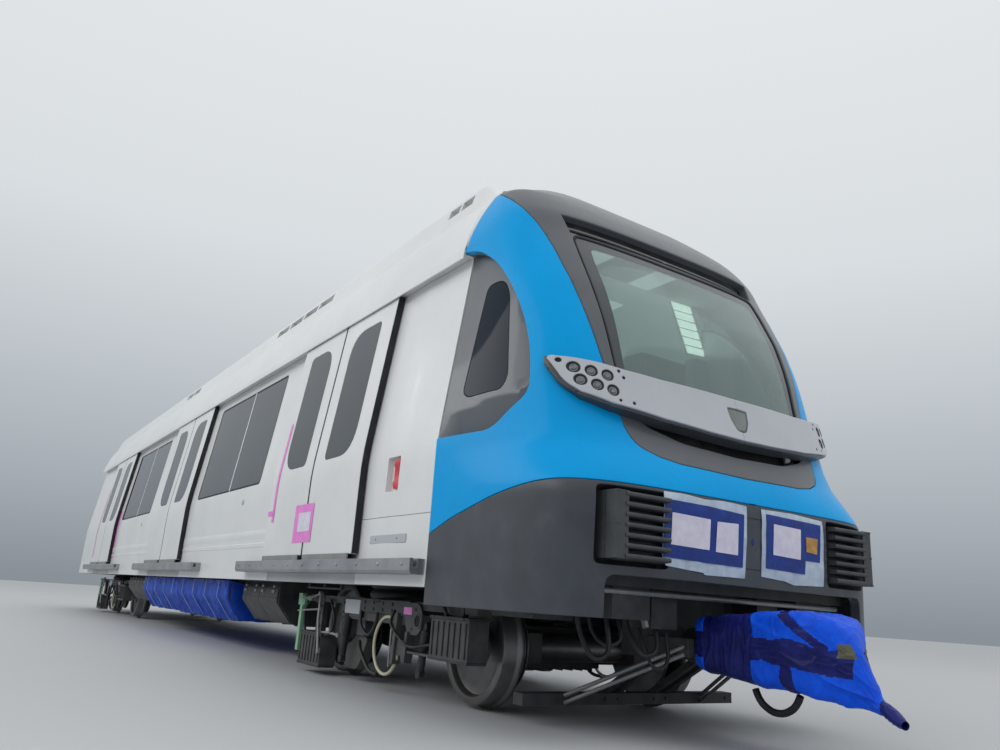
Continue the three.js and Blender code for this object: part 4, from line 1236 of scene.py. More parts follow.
def make_handle(side, sign):
    """The emergency door release: a red moulded grip in a white recess."""
    x0, x1, z0, z1 = HANDLE_BOX
    deep = HALF_WIDTH - 0.036
    well = block(x0 - 0.004, x1 + 0.004, deep - 0.012, deep, z0 - 0.004, z1 + 0.004)
    fitted(f"release_well_{side}", [on_side(well, sign)], WHITE_LACQUER, 0.002, 40)
    # Level sections of the grip from its ends inwards: distance from the end, half width, depth
    ends = [(0.012, 0.024, 0.012), (0.018, 0.052, 0.030), (0.055, 0.060, 0.034), (0.070, 0.050, 0.028)]
    rows = [(z0 + d, *size) for d, *size in ends] + [(z1 - d, *size) for d, *size in ends[::-1]]
    middle = (x0 + x1) / 2 + 0.032
    rings = []
    for z, wide, proud in rows:
        back, face = deep * sign, (deep + proud) * sign
        rings.append(np.array([(middle - wide, back, z), (middle - wide * 0.7, face, z),
                               (middle + wide * 0.7, face, z), (middle + wide, back, z)]))
    fitted(f"release_grip_{side}", [skinned(rings)], RELEASE_RED, 0.004, 50)


def make_rails(side, sign):
    """Sill rails that carry the leaves: a channel with a lip, in drawn aluminium."""
    profile = np.array([(1.315, 0.770), (1.410, 0.770), (1.422, 0.790), (1.422, 0.862), (1.398, 0.862),
                        (1.398, 0.812), (1.372, 0.812), (1.372, 0.862), (1.315, 0.862)])
    parts = []
    for centre in DOOR_CENTRES:
        front = centre + RAIL_AHEAD
        rings = [np.column_stack([np.full(len(profile), x), sign * profile[:, 0], profile[:, 1]])
                 for x in (front - RAIL_LENGTH, front)]
        parts.append(skinned(rings))
        for x in np.arange(front - RAIL_LENGTH + 0.10, front, 0.328):
            parts.append(revolved([(0.011, 0.0), (0.011, 0.004), (0.008, 0.007), (0.0005, 0.007)],
                                  (x, sign * 1.4215, 0.826), (0, sign, 0), 12))
    fitted(f"sill_rails_{side}", parts, ALLOY, 0.0025, 30, slot="alloy")


NOSING = 0.012


def leaf_sheet(centre, towards, sign):
    """Skin, glass and lining of a leaf, with its ends along x."""
    near = centre + towards * (LEAF_GAP + NOSING)
    far = centre + towards * (LEAF_GAP + LEAF_WIDTH)
    x0, x1 = min(near, far), max(near, far)
    body = finer(outline(rectangle(x0, x1, LEAF_SKIN_BOTTOM, LEAF_TOP, 0.012), 3), 0.05)
    hole = outline([(centre + towards * d, z, r) for d, z, r in LEAF_WINDOW], 10)
    flat, triangles, middles = cells([body, hole], strip_grid(x0, x1, 0.18), 0.02)
    within = inside(body, middles)
    glass = inside(hole, middles)
    panel = laid(flat, triangles[within & ~glass], wall_place(sign, LEAF_OUT))
    pane = laid(flat, triangles[glass], wall_place(sign, LEAF_OUT - 0.003))
    back = laid(flat, triangles[within & ~glass], wall_place(sign, LEAF_OUT - 0.046))
    return panel, pane, back, x0, x1


def make_leaves():
    """Twelve sliding leaves, each on its own body."""
    for door, centre in enumerate(DOOR_CENTRES, 1):
        for side, sign in SIDES.items():
            for leaf, towards in (("fore", 1), ("aft", -1)):
                name = f"{door}_{side}_{leaf}"
                body = f"leaf_{name}"
                panel, pane, back, x0, x1 = leaf_sheet(centre, towards, sign)
                plate(f"leaf_panel_{name}", panel, 0.040, WHITE_LACQUER, seam=0.0, radius=0.005, steps=4,
                      body=body, slot="white_paint", replaces=[f"door_{name}"])
                inner = Sheet(back.points, -back.normals, back.faces[:, ::-1])
                plate(f"leaf_lining_{name}", inner, 0.006, INNER_WHITE, seam=0.002, radius=0.002, steps=1,
                      body=body)
                plate(f"leaf_glass_{name}", pane, 0.02, TINTED, seam=0.0015, radius=0.001, steps=1,
                      body=body, slot="tinted_glass")
                make_leaf_rubbers(name, body, centre, towards, sign, x0, x1)


def upright_strip(x0, x1, inner, outer, z0, z1, sign, levels=14):
    """A strip that follows the body side, from standoff inner to outer."""
    rings = []
    for z in np.linspace(z0, z1, levels):
        a, b = wall_y(z, inner) * sign, wall_y(z, outer) * sign
        rings.append(np.array([(x0, a, z), (x0, b, z), (x1, b, z), (x1, a, z)]))
    return skinned(rings)


def make_leaf_rubbers(name, body, centre, towards, sign, x0, x1):
    """The finger guard where the leaves meet, and the seal over the leaf's outer edge."""
    closing = centre + towards * LEAF_GAP
    far = closing + towards * LEAF_WIDTH
    low, high = LEAF_SKIN_BOTTOM + 0.004, LEAF_TOP - 0.004
    guard = upright_strip(*sorted((closing - towards * 0.0024, closing + towards * (NOSING + 0.003))),
                          LEAF_OUT - 0.044, LEAF_OUT - 0.002, low, high, sign)
    seal = upright_strip(*sorted((far - towards * 0.006, far + towards * 0.005)),
                         LEAF_OUT - 0.048, LEAF_OUT - 0.003, low, high, sign)
    lip = upright_strip(*sorted((far - towards * 0.012, far + towards * 0.0065)),
                        LEAF_OUT - 0.0495, LEAF_OUT - 0.046, low, high, sign)
    shoe = on_side(block(x0 + 0.040, x1 - 0.040, 1.379, 1.391, 0.813, 0.905), sign)
    fitted(f"leaf_seals_{name}", [guard, seal, lip], RUBBER, 0.002, 40, body=body)
    fitted(f"leaf_foot_{name}", [shoe], PALE_STEEL, 0.002, 40, body=body)


def make_bays():
    """Window bays: two dark panes in a slim black gasket, with a white upright between them."""
    for bay, centre in enumerate(DOOR_CENTRES[:2], 1):
        for side, sign in SIDES.items():
            line = bay_outline(centre)
            at = centre + BAY["mullion"]
            post = outline(rectangle(at - 0.014, at + 0.014, BAY["z0"] - 0.01, BAY["z1"] + 0.01))
            inner = bay_outline(centre, -0.014)
            x0, x1 = centre + BAY["rear"], centre + BAY["front"]
            flat, triangles, middles = cells([finer(line, 0.08), finer(inner, 0.08), finer(post, 0.08)],
                                             strip_grid(x0, x1, 0.4), 0.015)
            whole, glass, bar = (inside(area, middles) for area in (line, inner, post))
            gasket = laid(flat, triangles[whole & ~glass & ~bar], wall_place(sign, -0.001))
            plate(f"bay_gasket_{bay}_{side}", gasket, 0.02, RUBBER, seam=0.0, radius=0.002, steps=2)
            panes = laid(flat, triangles[glass & ~bar], wall_place(sign, -0.004))
            plate(f"bay_glass_{bay}_{side}", panes, 0.016, TINTED, seam=0.0, radius=0.001, steps=1,
                  slot="tinted_glass", replaces=[f"side_window_{side}_{bay}"])
            upright = laid(flat, triangles[whole & bar], wall_place(sign, 0.001))
            plate(f"bay_post_{bay}_{side}", upright, 0.02, WHITE_LACQUER, seam=0.001, radius=0.002,
                  steps=2, slot="white_paint")


JAMB_WHITE = lacquer("jamb_grey_paint", "#b9bbba", "#9d9f9e", 0.4, 0.1)
RELEASE_RED = lacquer("moulded_red_plastic", "#d8202a", "#b81b24", 0.3, 0.3, peel=0.00003)


# Roof
ROOF_OUTLINE = [
    (1.100, 2.8485), (1.229, 2.8485), (1.229, 2.820, 0.004), (1.243, 2.820, 0.006), (1.238, 2.880, 0.03),
    (1.216, 2.960, 0.08), (1.180, 3.070, 0.10), (1.136, 3.180, 0.10), (1.090, 3.275, 0.05),
    (1.052, 3.322, 0.012), (1.040, 3.322, 0.004), (0.968, 3.560, 0.03), (0.935, 3.600, 0.03),
    (0.880, 3.600, 0.03), (0.848, 3.575, 0.02), (0.840, 3.362), (0.0, 3.372),
]
FAIRING_SLOTS = [(-0.36, 0.16), (-0.55, 0.16), (-3.00, 0.38), (-3.43, 0.38), (-3.86, 0.38),
                 (-4.29, 0.38), (-8.20, 0.38), (-8.63, 0.38)]
SLOT_Z = (3.450, 3.530)
DECK_EDGE = ROOF_OUTLINE[-2]


def roof_rows():
    """The roof's section from the gutter inwards, with a row at each edge of the cut-outs."""
    line = outline(ROOF_OUTLINE, 8)
    rows = [tuple(line[0])]
    for (ya, za), (yb, zb) in zip(line, line[1:]):
        within = [c for c in SLOT_Z if min(za, zb) + 0.003 < c < max(za, zb) - 0.003]
        cuts = sorted(within, reverse=bool(zb < za))
        rows.extend((ya + (yb - ya) * (c - za) / (zb - za), c) for c in cuts)
        rows.append((yb, zb))
    return np.array(rows)


def fall_share(x):
    """How far the roof has come down at x: not at all behind its last 0.28 m, whole at the joint."""
    part = min(max((x + 0.28) / 0.26, 0.0), 1.0)
    return part * part * (3 - 2 * part)


def make_crown_back():
    """Fairing that falls from behind the nose's crown to the sunk deck."""
    rings = []
    sides = np.linspace(-1, 1, 49)
    x, y = nose_xy(np.abs(sides), np.full(len(sides), NOSE_TOP - 0.003), -0.012, -0.012, False)
    z = crowned(NOSE_TOP - 0.015, shoulder_share(np.abs(sides)))
    top = np.column_stack([x, y * np.sign(sides), z])
    low_x = -0.012
    falls = np.linspace(0, 1, 12)
    eased = falls * falls * (3 - 2 * falls)
    for x, y, z in top:
        low_y = y * DECK_EDGE[0] / top[-1, 1]
        camber = 0.01 * (1 - abs(low_y) / DECK_EDGE[0])
        low_z = crowned(DECK_EDGE[1] + camber, fall_share(low_x)) - 0.003
        skin = np.column_stack([x + (low_x - x) * falls, y + (low_y - y) * falls,
                                z + (low_z - z) * eased])
        rings.append(np.vstack([skin, skin[::-1] - (0, 0, 0.02)]))
    fitted("crown_back", [skinned(rings)], GREY_LACQUER, 0.0, 40, slot="grey_paint")


def make_roof():
    """Long coved shell with a fairing on each edge, its cut-outs, and a sunk deck."""
    rows = roof_rows()
    front = -0.0003
    cuts = [(f - length, f) for f, length in FAIRING_SLOTS]
    stations = sorted({WALL_REAR, front, *[x for cut in cuts for x in cut],
                       *np.arange(-14.5, -0.4, 0.75), *np.arange(-0.28, -0.02, 0.04)})
    levels = [k for k in range(len(rows) - 1)
              if abs(rows[k][1] + rows[k + 1][1] - sum(SLOT_Z)) < 0.01]
    parts = []
    for sign in (1, -1):
        points = [(x, sign * y, float(crowned(z, fall_share(x)))) for x in stations for y, z in rows]
        faces = []
        count = len(rows)
        for i, (xa, xb) in enumerate(zip(stations, stations[1:])):
            cut_here = any(a - 1e-6 <= xa and xb <= b + 1e-6 for a, b in cuts)
            for k in range(count - 1):
                if cut_here and k in levels:
                    continue
                a = i * count + k
                face = (a, a + 1, a + count + 1, a + count)
                faces.append(face if sign > 0 else face[::-1])
        for xa, xb in cuts:
            i, j = (min(range(len(stations)), key=lambda n: abs(stations[n] - x)) for x in (xa, xb))
            outer, inner = levels
            ring = [outer, outer + 1, inner, inner + 1]
            for p, q in ((ring[0], ring[3]), (ring[1], ring[2])):
                faces.append((i * count + p, j * count + p, j * count + q, i * count + q))
            for n in (i, j):
                faces.append(tuple(n * count + r for r in ring))
        for n in (0, len(stations) - 1):
            base = n * count
            spare = len(points)
            points.extend([(stations[n], 0.0, 3.110), (stations[n], sign * 0.900, 3.110)])
            faces.append(tuple(range(base, base + count)) + (spare, spare + 1))
        parts.append((points, faces))
    fitted("roof_shell", parts, WHITE_LACQUER, 0.0, 28, slot="white_paint", replaces=["roof"])
    make_crown_back()
    gutter = two_sided([block(WALL_REAR, front, 1.165, 1.226, 2.852, 2.858)])
    piece("gutter_shadow_gap", *merged(gutter), RUBBER)


# Inside of the car, seen through the windscreen
CAB_CEILING_Z = 3.045
DOORWAY_HALF = 0.66
SALOON_SECTION = [(0.0, 3.060), (0.62, 3.055), (0.80, 3.020), (0.96, 2.93), (1.03, 2.80), (1.075, 2.60)]
WALL_SECTION = [(1.075, 2.60), (1.205, 1.62), (1.235, 1.50), (1.238, 0.905)]


def lamp_material(name, colour, strength):
    """Opal cover with light behind it: even glow, slightly warmer at patches about 80 mm across."""
    material = new_material(name, Roughness=0.4, Emission_Strength=strength)
    material.cycles.emission_sampling = "NONE"
    glow = ramp(material, speckle(material, 0.08, 3.0), (0.3, colour), (0.8, "#dfe6da"))
    feed(material, glow, "Emission Color")
    feed(material, glow, "Base Color")
    return material


def rubber_floor():
    """Calendered rubber flooring: blue-grey with pale flecks about 4 mm across."""
    material = new_material("flecked_rubber_floor", IOR=1.5)
    flecks = speckle(material, 0.004, 2.0, 0.5)
    paint(material, flecks, (0.45, "#5b6670"), (0.62, "#8b959b"))
    rough_between(material, speckle(material, 0.2, 4.0), 0.5, 0.7)
    return material


FLOOR_RUBBER = rubber_floor()
SEAT_SHELL = lacquer("moulded_seat_shell", "#2f6f9c", "#2a648d", 0.35, 0.2)
DESK_GREY = lacquer("desk_grey_moulding", "#4b4f52", "#434749", 0.5, 0.05)
CEILING_LIGHT = lamp_material("opal_ceiling_light", "#f2f7ee", 0.7)
LOUVRE_LIGHT = lamp_material("opal_louvre_light", "#f1f8ec", 2.2)
# Not a lamp: the inner panes glow with painted daylight, as seen through the windows from inside.
DAYLIGHT_PANE = lamp_material("pane_glowing_with_painted_daylight", "#b8c6c4", 0.30)


def swept(section, x0, x1, steps=2):
    """A section of (y, z) run along x on both sides of the car, with its face inwards."""
    stations = np.linspace(x0, x1, steps)
    parts = []
    for sign in (1, -1):
        points = [(x, sign * y, z) for x in stations for y, z in section]
        count = len(section)
        faces = []
        for i in range(steps - 1):
            for k in range(count - 1):
                a = i * count + k
                face = (a, a + count, a + count + 1, a + 1)
                faces.append(face if sign > 0 else face[::-1])
        parts.append((points, faces))
    return merged(parts)


def make_cab_lining():
    """Pale moulded lining inside the nose, open at the glass, under a flat ceiling."""
    open_areas = IN["screen"] | IN["display"] | IN["arch"] | IN["apron"]
    lining = doubled(nose_sheet(~open_areas & (NOSE_MIDDLES[:, 1] < 3.08), nose_place(-0.066)))
    piece("cab_lining", lining.points, lining.faces[:, ::-1], INNER_WHITE, -lining.normals)
    cheeks = doubled(nose_sheet(IN["arch"], nose_place(-0.125, flat=True)))
    piece("cab_cheeks", cheeks.points, cheeks.faces[:, ::-1], INNER_WHITE, -cheeks.normals)
    t = np.linspace(0.02, 1.0, 24)
    x, y = nose_xy(t, np.full(len(t), CAB_CEILING_Z), -0.075, -0.075, False)
    rim = [(a, b, CAB_CEILING_Z) for a, b in zip(x, y)]
    rim += [(a, -b, CAB_CEILING_Z) for a, b in zip(x[::-1], y[::-1])]
    fitted("cab_ceiling", [(rim, [tuple(range(len(rim)))])], INNER_WHITE, 0.0, 30)


def make_saloon():
    """Ceiling and lining between the doorways, which glow faintly with painted light, the lights, and the
    windows seen from inside, which glow with painted daylight.
    """
    rear = WALL_REAR + 0.01
    fitted("saloon_ceiling", [swept(SALOON_SECTION, rear, 0.0, 8)], SALOON_LINING, 0.0, 40)
    edges = [0.0]
    for centre in DOOR_CENTRES:
        edges += [centre + DOORWAY_HALF, centre - DOORWAY_HALF]
    edges.append(rear)
    stretches = [swept(WALL_SECTION, x0, x1, 3) for x1, x0 in zip(edges[::2], edges[1::2])]
    fitted("saloon_lining", stretches, SALOON_LINING, 0.0, 40)
    strips = [block(x1 - 1.45, x1, 0.35, 0.49, 3.038, 3.052) for x1 in -0.35 - 1.6 * np.arange(9)]
    strips.append(block(0.02, 0.40, 0.20, 0.40, CAB_CEILING_Z - 0.012, CAB_CEILING_Z - 0.002))
    fitted("ceiling_lights", two_sided(strips), CEILING_LIGHT, 0.004, 40)
    (high_y, high_z), (low_y, low_z) = WALL_SECTION[:2]
    foot, head = 1.68, 2.58
    y0, y1 = (np.interp(z, [low_z, high_z], [low_y, high_y]) - 0.006 for z in (foot, head))
    panes = []
    for centre in DOOR_CENTRES[:2]:
        for x0, x1 in ((centre - 3.88, centre - 2.62), (centre - 2.56, centre - 1.60)):
            panes.append(([(x0, y0, foot), (x1, y0, foot), (x1, y1, head), (x0, y1, head)], [(0, 1, 2, 3)]))
    # Panes that glow: painted daylight in the windows seen from inside.
    piece("inner_panes_painted_daylight", *merged(two_sided(panes)), DAYLIGHT_PANE)
    make_rails_inside()
    make_cab_fittings()


def make_rails_inside():
    """Grab rails along the saloon, with uprights by the doors."""
    y, radius = 0.62, 0.016
    parts = [tube([(-14.6, y, 2.06), (-0.7, y, 2.06)], radius, 12)]
    for centre in DOOR_CENTRES:
        parts += [tube([(x, y, 0.90), (x, y, 3.05)], radius, 12) for x in (centre - 0.78, centre + 0.78)]
    fitted("grab_rails", two_sided(parts), PALE_STEEL, 0.0, 50)


LOUVRE = {"top": [(0.670, 3.036), (0.894, 3.042)], "bottom": [(0.861, 2.639), (1.071, 2.651)],
          "slats": 6, "thick": 0.012}


def make_cab_fittings():
    """Cab furniture behind the screen: the lit louvre panel, door pillars and a dark cabinet."""
    top, bottom = np.array(LOUVRE["top"]), np.array(LOUVRE["bottom"])
    slats, frame_bars = [], []
    for k in range(LOUVRE["slats"]):
        upper = top + (bottom - top) * (k + 0.06) / LOUVRE["slats"]
        lower = top + (bottom - top) * (k + 0.86) / LOUVRE["slats"]
        slats.append(extruded([upper[0], upper[1], lower[1], lower[0]], (-LOUVRE["thick"], 0.0)))
    for k, shift in ((0, -0.008), (1, 0.008)):
        rail = [(0.002, y + shift, z) for y, z in (top[k], bottom[k])]
        frame_bars.append(tube(rail, 0.007, 8))
    piece("louvre_slats", *merged(slats), LOUVRE_LIGHT)
    fitted("louvre_frame", frame_bars, INNER_WHITE, 0.0, 50)
    pillars = [block(-0.10, 0.02, 0.93, 1.08, 0.905, 2.62), block(0.30, 0.38, 0.96, 1.06, 0.905, 2.60)]
    fitted("cab_pillars", two_sided(pillars), INNER_WHITE, 0.015, 30)
    fitted("cab_cabinet", [block(-0.16, 0.05, 0.33, 0.80, 0.905, 2.52)], DESK_GREY, 0.012, 30)


def dress_floor():
    """Rubber on the floor, moulded shells on the benches and grey on the desk."""
    made = NODES["saloon_floor"]
    made.data.materials.clear()
    for material in (FLOOR_RUBBER, SEAT_SHELL, DESK_GREY):
        made.data.materials.append(material)
    for polygon in made.data.polygons:
        middle = polygon.center
        if middle.z < 0.915:
            polygon.material_index = 0
        else:
            polygon.material_index = 2 if middle.x - JOINT_X > 0.3 else 1
    made.data.set_sharp_from_angle(angle=math.radians(28))
    sharp(made, 32, 0.012, 3)


# Sheeting: the wrapped coupler and the covered case
def sheeting(name, colour, shade, gloss, thread=0.004):
    """Woven polythene sheet, welded both sides: a fine square weave, 4 mm here so that it shows,
    small pinched creases about 55 mm apart, and patches rubbed paler."""
    material = new_material(name, IOR=1.5, Coat_Weight=0.05, Coat_Roughness=0.22,
                            Specular_IOR_Level=0.14)
    rubbed = speckle(material, 0.14, 6.0, 0.62)
    paint(material, rubbed, (0.35, shade), (0.72, colour))
    rough_between(material, speckle(material, 0.05, 5.0), gloss, gloss + 0.2)
    weave = add_node(material, "ShaderNodeTexVoronoi", {"Scale": 1 / thread, "Randomness": 0.25},
                     {"Vector": place_of(material)})
    creases = add_node(material, "ShaderNodeTexVoronoi", {"Scale": 1 / 0.055},
                       {"Vector": place_of(material)}, feature="DISTANCE_TO_EDGE")
    bumps(material, [(creases.outputs["Distance"], 0.0015), (speckle(material, 0.02, 5.0, 0.7), 0.0020),
                     (weave.outputs["Distance"], 0.0001)])
    return material


TARP = sheeting("woven_polythene_blue", "#0a5cf0", "#0748cc", 0.30)
DEEP_TARP = sheeting("woven_polythene_deep_blue", "#0c4bc4", "#0a3c9c", 0.34)
STRETCH_TAPE = sheeting("navy_stretch_tape", "#232a78", "#101650", 0.20)
DARK_OPENING = grimy_steel("grey_green_cast_face", "#4d4f3c", "#67674f", 0.6)

TIE_POINT = np.array([2.055, -0.076, 0.296])
# Sections of the wrapped bundle: x, y, z of the middle, half width, half height
WRAP_ROWS = [
    (1.100, 0.000, 0.505, 0.243, 0.146), (1.160, 0.000, 0.503, 0.252, 0.156),
    (1.440, 0.000, 0.500, 0.250, 0.182), (1.640, 0.000, 0.505, 0.250, 0.190),
    (1.740, -0.003, 0.500, 0.243, 0.193), (1.800, -0.012, 0.490, 0.218, 0.190),
    (1.850, -0.030, 0.478, 0.170, 0.186), (1.885, -0.048, 0.462, 0.128, 0.176),
    (1.915, -0.058, 0.440, 0.098, 0.158), (1.945, -0.062, 0.412, 0.078, 0.134),
    (1.975, -0.066, 0.378, 0.062, 0.104), (2.005, -0.070, 0.345, 0.048, 0.074),
    (2.035, -0.074, 0.312, 0.036, 0.044), (2.055, -0.076, 0.296, 0.032, 0.032),
    (2.080, -0.078, 0.284, 0.040, 0.036), (2.115, -0.080, 0.262, 0.042, 0.033),
    (2.151, -0.082, 0.240, 0.032, 0.020),
]
WRAP_AROUND, WRAP_ALONG = 236, 300
WRAP_CORNER = 0.36
# Where the sheeting is torn on the right, as x from and to, z from and to
WRAP_HOLE = (1.893, 1.952, 0.497, 0.560)


def crumpled(point, size, seed):
    """Relief of crushed sheeting at a point, from -1 to 1: sharp ridges between soft hollows."""
    spot = Vector((point[0] / size + seed, point[1] / size, point[2] / size))
    near = noise.voronoi(spot)[0]
    ridge = math.exp(-((near[1] - near[0]) / 0.10) ** 2)
    return 0.75 * ridge + 0.45 * noise.noise(spot * 1.7) - 0.30


def tape_zone(x, y, z):
    """Which stretch of tape covers a spot on the wrapping, if any."""
    ragged = 0.012 * noise.noise(Vector((x * 11, z * 11, y * 8)))
    if 1.150 + ragged < x < 1.462 + 2 * ragged:
        return "broad"
    if x > 2.052:
        return "tail"
    middle = np.interp(x, [1.46, 1.70, 1.86, 1.95], [0.512, 0.500, 0.475, 0.470])
    half = np.interp(x, [1.46, 1.58, 1.70, 1.82, 1.95], [0.062, 0.050, 0.066, 0.052, 0.060])
    if x < 1.95 and abs(z - middle + 1.5 * ragged) < half:
        return "level"
    slanting = np.interp(x, [1.60, 1.70, 1.86], [0.700, 0.640, 0.530])
    if 1.60 < x < 1.86 and abs(z - slanting + ragged) < 0.024:
        return "level"
    if 1.63 + ragged < x < 1.70 + ragged and z < 0.47:
        return "upright"
    return None


def wrap_relief(x, y, z, zone):
    """How far the sheeting stands off its bundle: folds that fan out from the tie, soft hollows
    between them, and streaks where it is taped."""
    fan = math.atan2(z - TIE_POINT[2], TIE_POINT[0] + 0.06 - x)
    reach = math.hypot(z - TIE_POINT[2], TIE_POINT[0] - x)
    wander = 1.4 * noise.noise(Vector((x * 4, y * 4, z * 4)))
    folds = 1 - 2 * abs(math.sin(9 * fan + wander)) ** 0.6
    gathered = 0.011 * folds * math.exp(-((reach - 0.10) / 0.24) ** 2)
    if zone is None:
        crush = 0.009 * crumpled((x * 0.7 + z * 0.5, y, z * 0.8), 0.24, 3.1)
        crush += 0.0035 * crumpled((x, y, z), 0.09, 7.7)
        return crush + gathered
    if zone == "broad":
        streaks = 0.0030 * noise.noise(Vector((x * 70, y * 5, z * 5)))
        return -0.006 + streaks + 0.005 * crumpled((x * 2.2, y * 0.7, z * 0.7), 0.18, 1.7)
    streaks = 0.0030 * noise.noise(Vector((x * 9, y * 30, z * 60)))
    return -0.001 + streaks + 0.008 * crumpled((x * 0.5 + z * 0.3, y, z * 1.9), 0.10, 5.2) + 0.6 * gathered


def bundle_ring(half_y, half_z, soft, fine=720):
    """Evenly spaced spots round a rounded box, as shares of its half sizes, with their angle."""
    turn = np.linspace(0, 2 * math.pi, fine + 1)
    across = np.copysign(np.abs(np.cos(turn)) ** soft, np.cos(turn))
    up = np.copysign(np.abs(np.sin(turn)) ** soft, np.sin(turn))
    walked = np.concatenate([[0], np.cumsum(np.hypot(np.diff(across * half_y), np.diff(up * half_z)))])
    wanted = np.linspace(0, walked[-1], WRAP_AROUND, endpoint=False)
    c, s = np.interp(wanted, walked, across), np.interp(wanted, walked, up)
    return zip(c, s, np.arctan2(s, c))


def make_wrap():
    """The coupler head under its sheeting: a boxy bundle, taped round, drawn to a tied tail."""
    rows = np.array(WRAP_ROWS)
    nose_start = 1.80
    nose_rows = WRAP_ALONG // 2
    x_line = np.concatenate([np.linspace(rows[0, 0], nose_start, WRAP_ALONG - nose_rows, endpoint=False),
                             np.linspace(nose_start, rows[-1, 0], nose_rows)])
    shape = [np.interp(x_line, rows[:, 0], rows[:, k]) for k in range(1, 5)]
    points, zones = [], []
    for x, y0, z0, half_y, half_z in zip(x_line, *shape):
        soft = WRAP_CORNER + (1 - WRAP_CORNER) * min(max((x - 1.82) / 0.14, 0.0), 1.0)
        pleat = 0.010 * math.exp(-((x - 2.03) / 0.05) ** 2)
        blunt = min(max((x - 1.86) / 0.06, 0.0), 1.0) * (x < 2.05)
        for c, s, angle in bundle_ring(half_y, half_z, soft):
            y, z = y0 + half_y * c, z0 + half_z * s
            zone = tape_zone(x, y, z)
            relief = wrap_relief(x, y, z, zone) + pleat * (abs(math.sin(6.5 * angle + 0.8)) - 0.6)
            relief = min(relief, 0.012) * min(1.0, (half_y - 0.015) / 0.10)
            points.append((x + 0.5 * blunt * relief, y + relief * math.cos(angle),
                           z + relief * math.sin(angle)))
            zones.append(zone)
    faces, kinds = [], []
    x0, x1, z0, z1 = WRAP_HOLE
    for i in range(len(x_line) - 1):
        for k in range(WRAP_AROUND):
            a, b = i * WRAP_AROUND + k, i * WRAP_AROUND + (k + 1) % WRAP_AROUND
            faces.append((a, b, b + WRAP_AROUND, a + WRAP_AROUND))
            x, y, z = points[a]
            kinds.append(2 if y < -0.10 and x0 < x < x1 and z0 < z < z1 else int(bool(zones[a])))
    wrap = piece("coupler_sheeting", points, faces, TARP, slot="blue_sheeting", replaces=["coupler_wrap"])
    for material in (STRETCH_TAPE, DARK_OPENING):
        wrap.data.materials.append(material)
    wrap.data.polygons.foreach_set("material_index", kinds)
    wrap.data.update()


# Air hose that hangs in a bow under the wrapping: out of it and back
HOSE_DIAMETER = 0.036
HOSE_ROUTE = [
    (1.368, -0.092, 0.300), (1.379, -0.093, 0.277), (1.394, -0.095, 0.256), (1.412, -0.096, 0.237),
    (1.434, -0.097, 0.223), (1.457, -0.098, 0.212), (1.482, -0.100, 0.205), (1.508, -0.101, 0.203),
    (1.534, -0.102, 0.205), (1.559, -0.104, 0.212), (1.582, -0.105, 0.223), (1.604, -0.106, 0.237),
    (1.622, -0.107, 0.256), (1.637, -0.109, 0.277), (1.648, -0.110, 0.300),
]


def make_hose():
    """The free hose, as a curve with its real length."""
    route = np.array(HOSE_ROUTE) + np.array([JOINT_X, 0, 0])
    curve = bpy.data.curves.new("coupler_air_hose", "CURVE")
    curve.dimensions = "3D"
    curve.bevel_depth = HOSE_DIAMETER / 2
    curve.bevel_resolution = 5
    curve.use_fill_caps = True
    spline = curve.splines.new("POLY")
    spline.points.add(len(route) - 1)
    for point, place in zip(spline.points, route):
        point.co = (*place, 1.0)
    curve.materials.append(RUBBER)
    hose = bpy.data.objects.new("coupler_air_hose", curve)
    bpy.context.scene.collection.objects.link(hose)
    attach(hose, "car_body")
    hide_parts("coupler_hose")


# Notices taped to the bumper, all blank: corners are (y, z) in the front view
LEFT_FILM = [
    (-0.694, 1.244), (-0.563, 1.247), (-0.390, 1.237), (-0.248, 1.246), (-0.062, 1.240), (-0.066, 1.06),
    (-0.082, 0.850), (-0.398, 0.846), (-0.411, 0.856), (-0.676, 0.872), (-0.703, 0.895), (-0.701, 1.09),
]
LEFT_TAPE = [
    (-0.688, 1.206), (-0.384, 1.203), (-0.090, 1.190), (-0.095, 1.06), (-0.104, 0.905), (-0.415, 0.908),
    (-0.697, 0.914),
]
RIGHT_FILM = [
    (0.062, 1.239), (0.323, 1.243), (0.611, 1.230), (0.614, 1.04), (0.606, 0.852), (0.329, 0.842),
    (0.250, 0.858), (0.055, 0.870),
]
RIGHT_TAPE = [
    (0.096, 1.216), (0.388, 1.208), (0.583, 1.203), (0.568, 0.985), (0.434, 0.986), (0.425, 0.908),
    (0.090, 0.918),
]
PAPERS = [
    [(-0.642, 1.141), (-0.361, 1.134), (-0.369, 0.974), (-0.648, 0.979)],
    [(-0.309, 1.129), (-0.141, 1.134), (-0.145, 0.967), (-0.321, 0.970)],
    [(0.154, 1.166), (0.390, 1.158), (0.384, 0.987), (0.147, 0.995)],
]
CARD = [(0.438, 1.121), (0.546, 1.119), (0.535, 1.029), (0.438, 1.036)]
DOT = [(-0.030, 1.050), (-0.010, 1.072), (0.0, 1.060), (0.0, 1.040), (-0.010, 1.028)]
BUMPER_LINES = [(-0.068, 0.056, 1.178), (-0.080, 0.052, 0.903)]


def stuck_film(name, colour, shade, weight=0.35):
    """Thin plastic film taped down by its edges: milky, with soft puckers about 50 mm apart."""
    material = new_material(name, IOR=1.45, Coat_Weight=weight, Coat_Roughness=0.12)
    cloudy = speckle(material, 0.07, 5.0, 0.6)
    paint(material, cloudy, (0.35, shade), (0.7, colour))
    rough_between(material, speckle(material, 0.03, 3.0), 0.2, 0.45)
    bumps(material, [(speckle(material, 0.05, 4.0, 0.65), 0.003)])
    return material


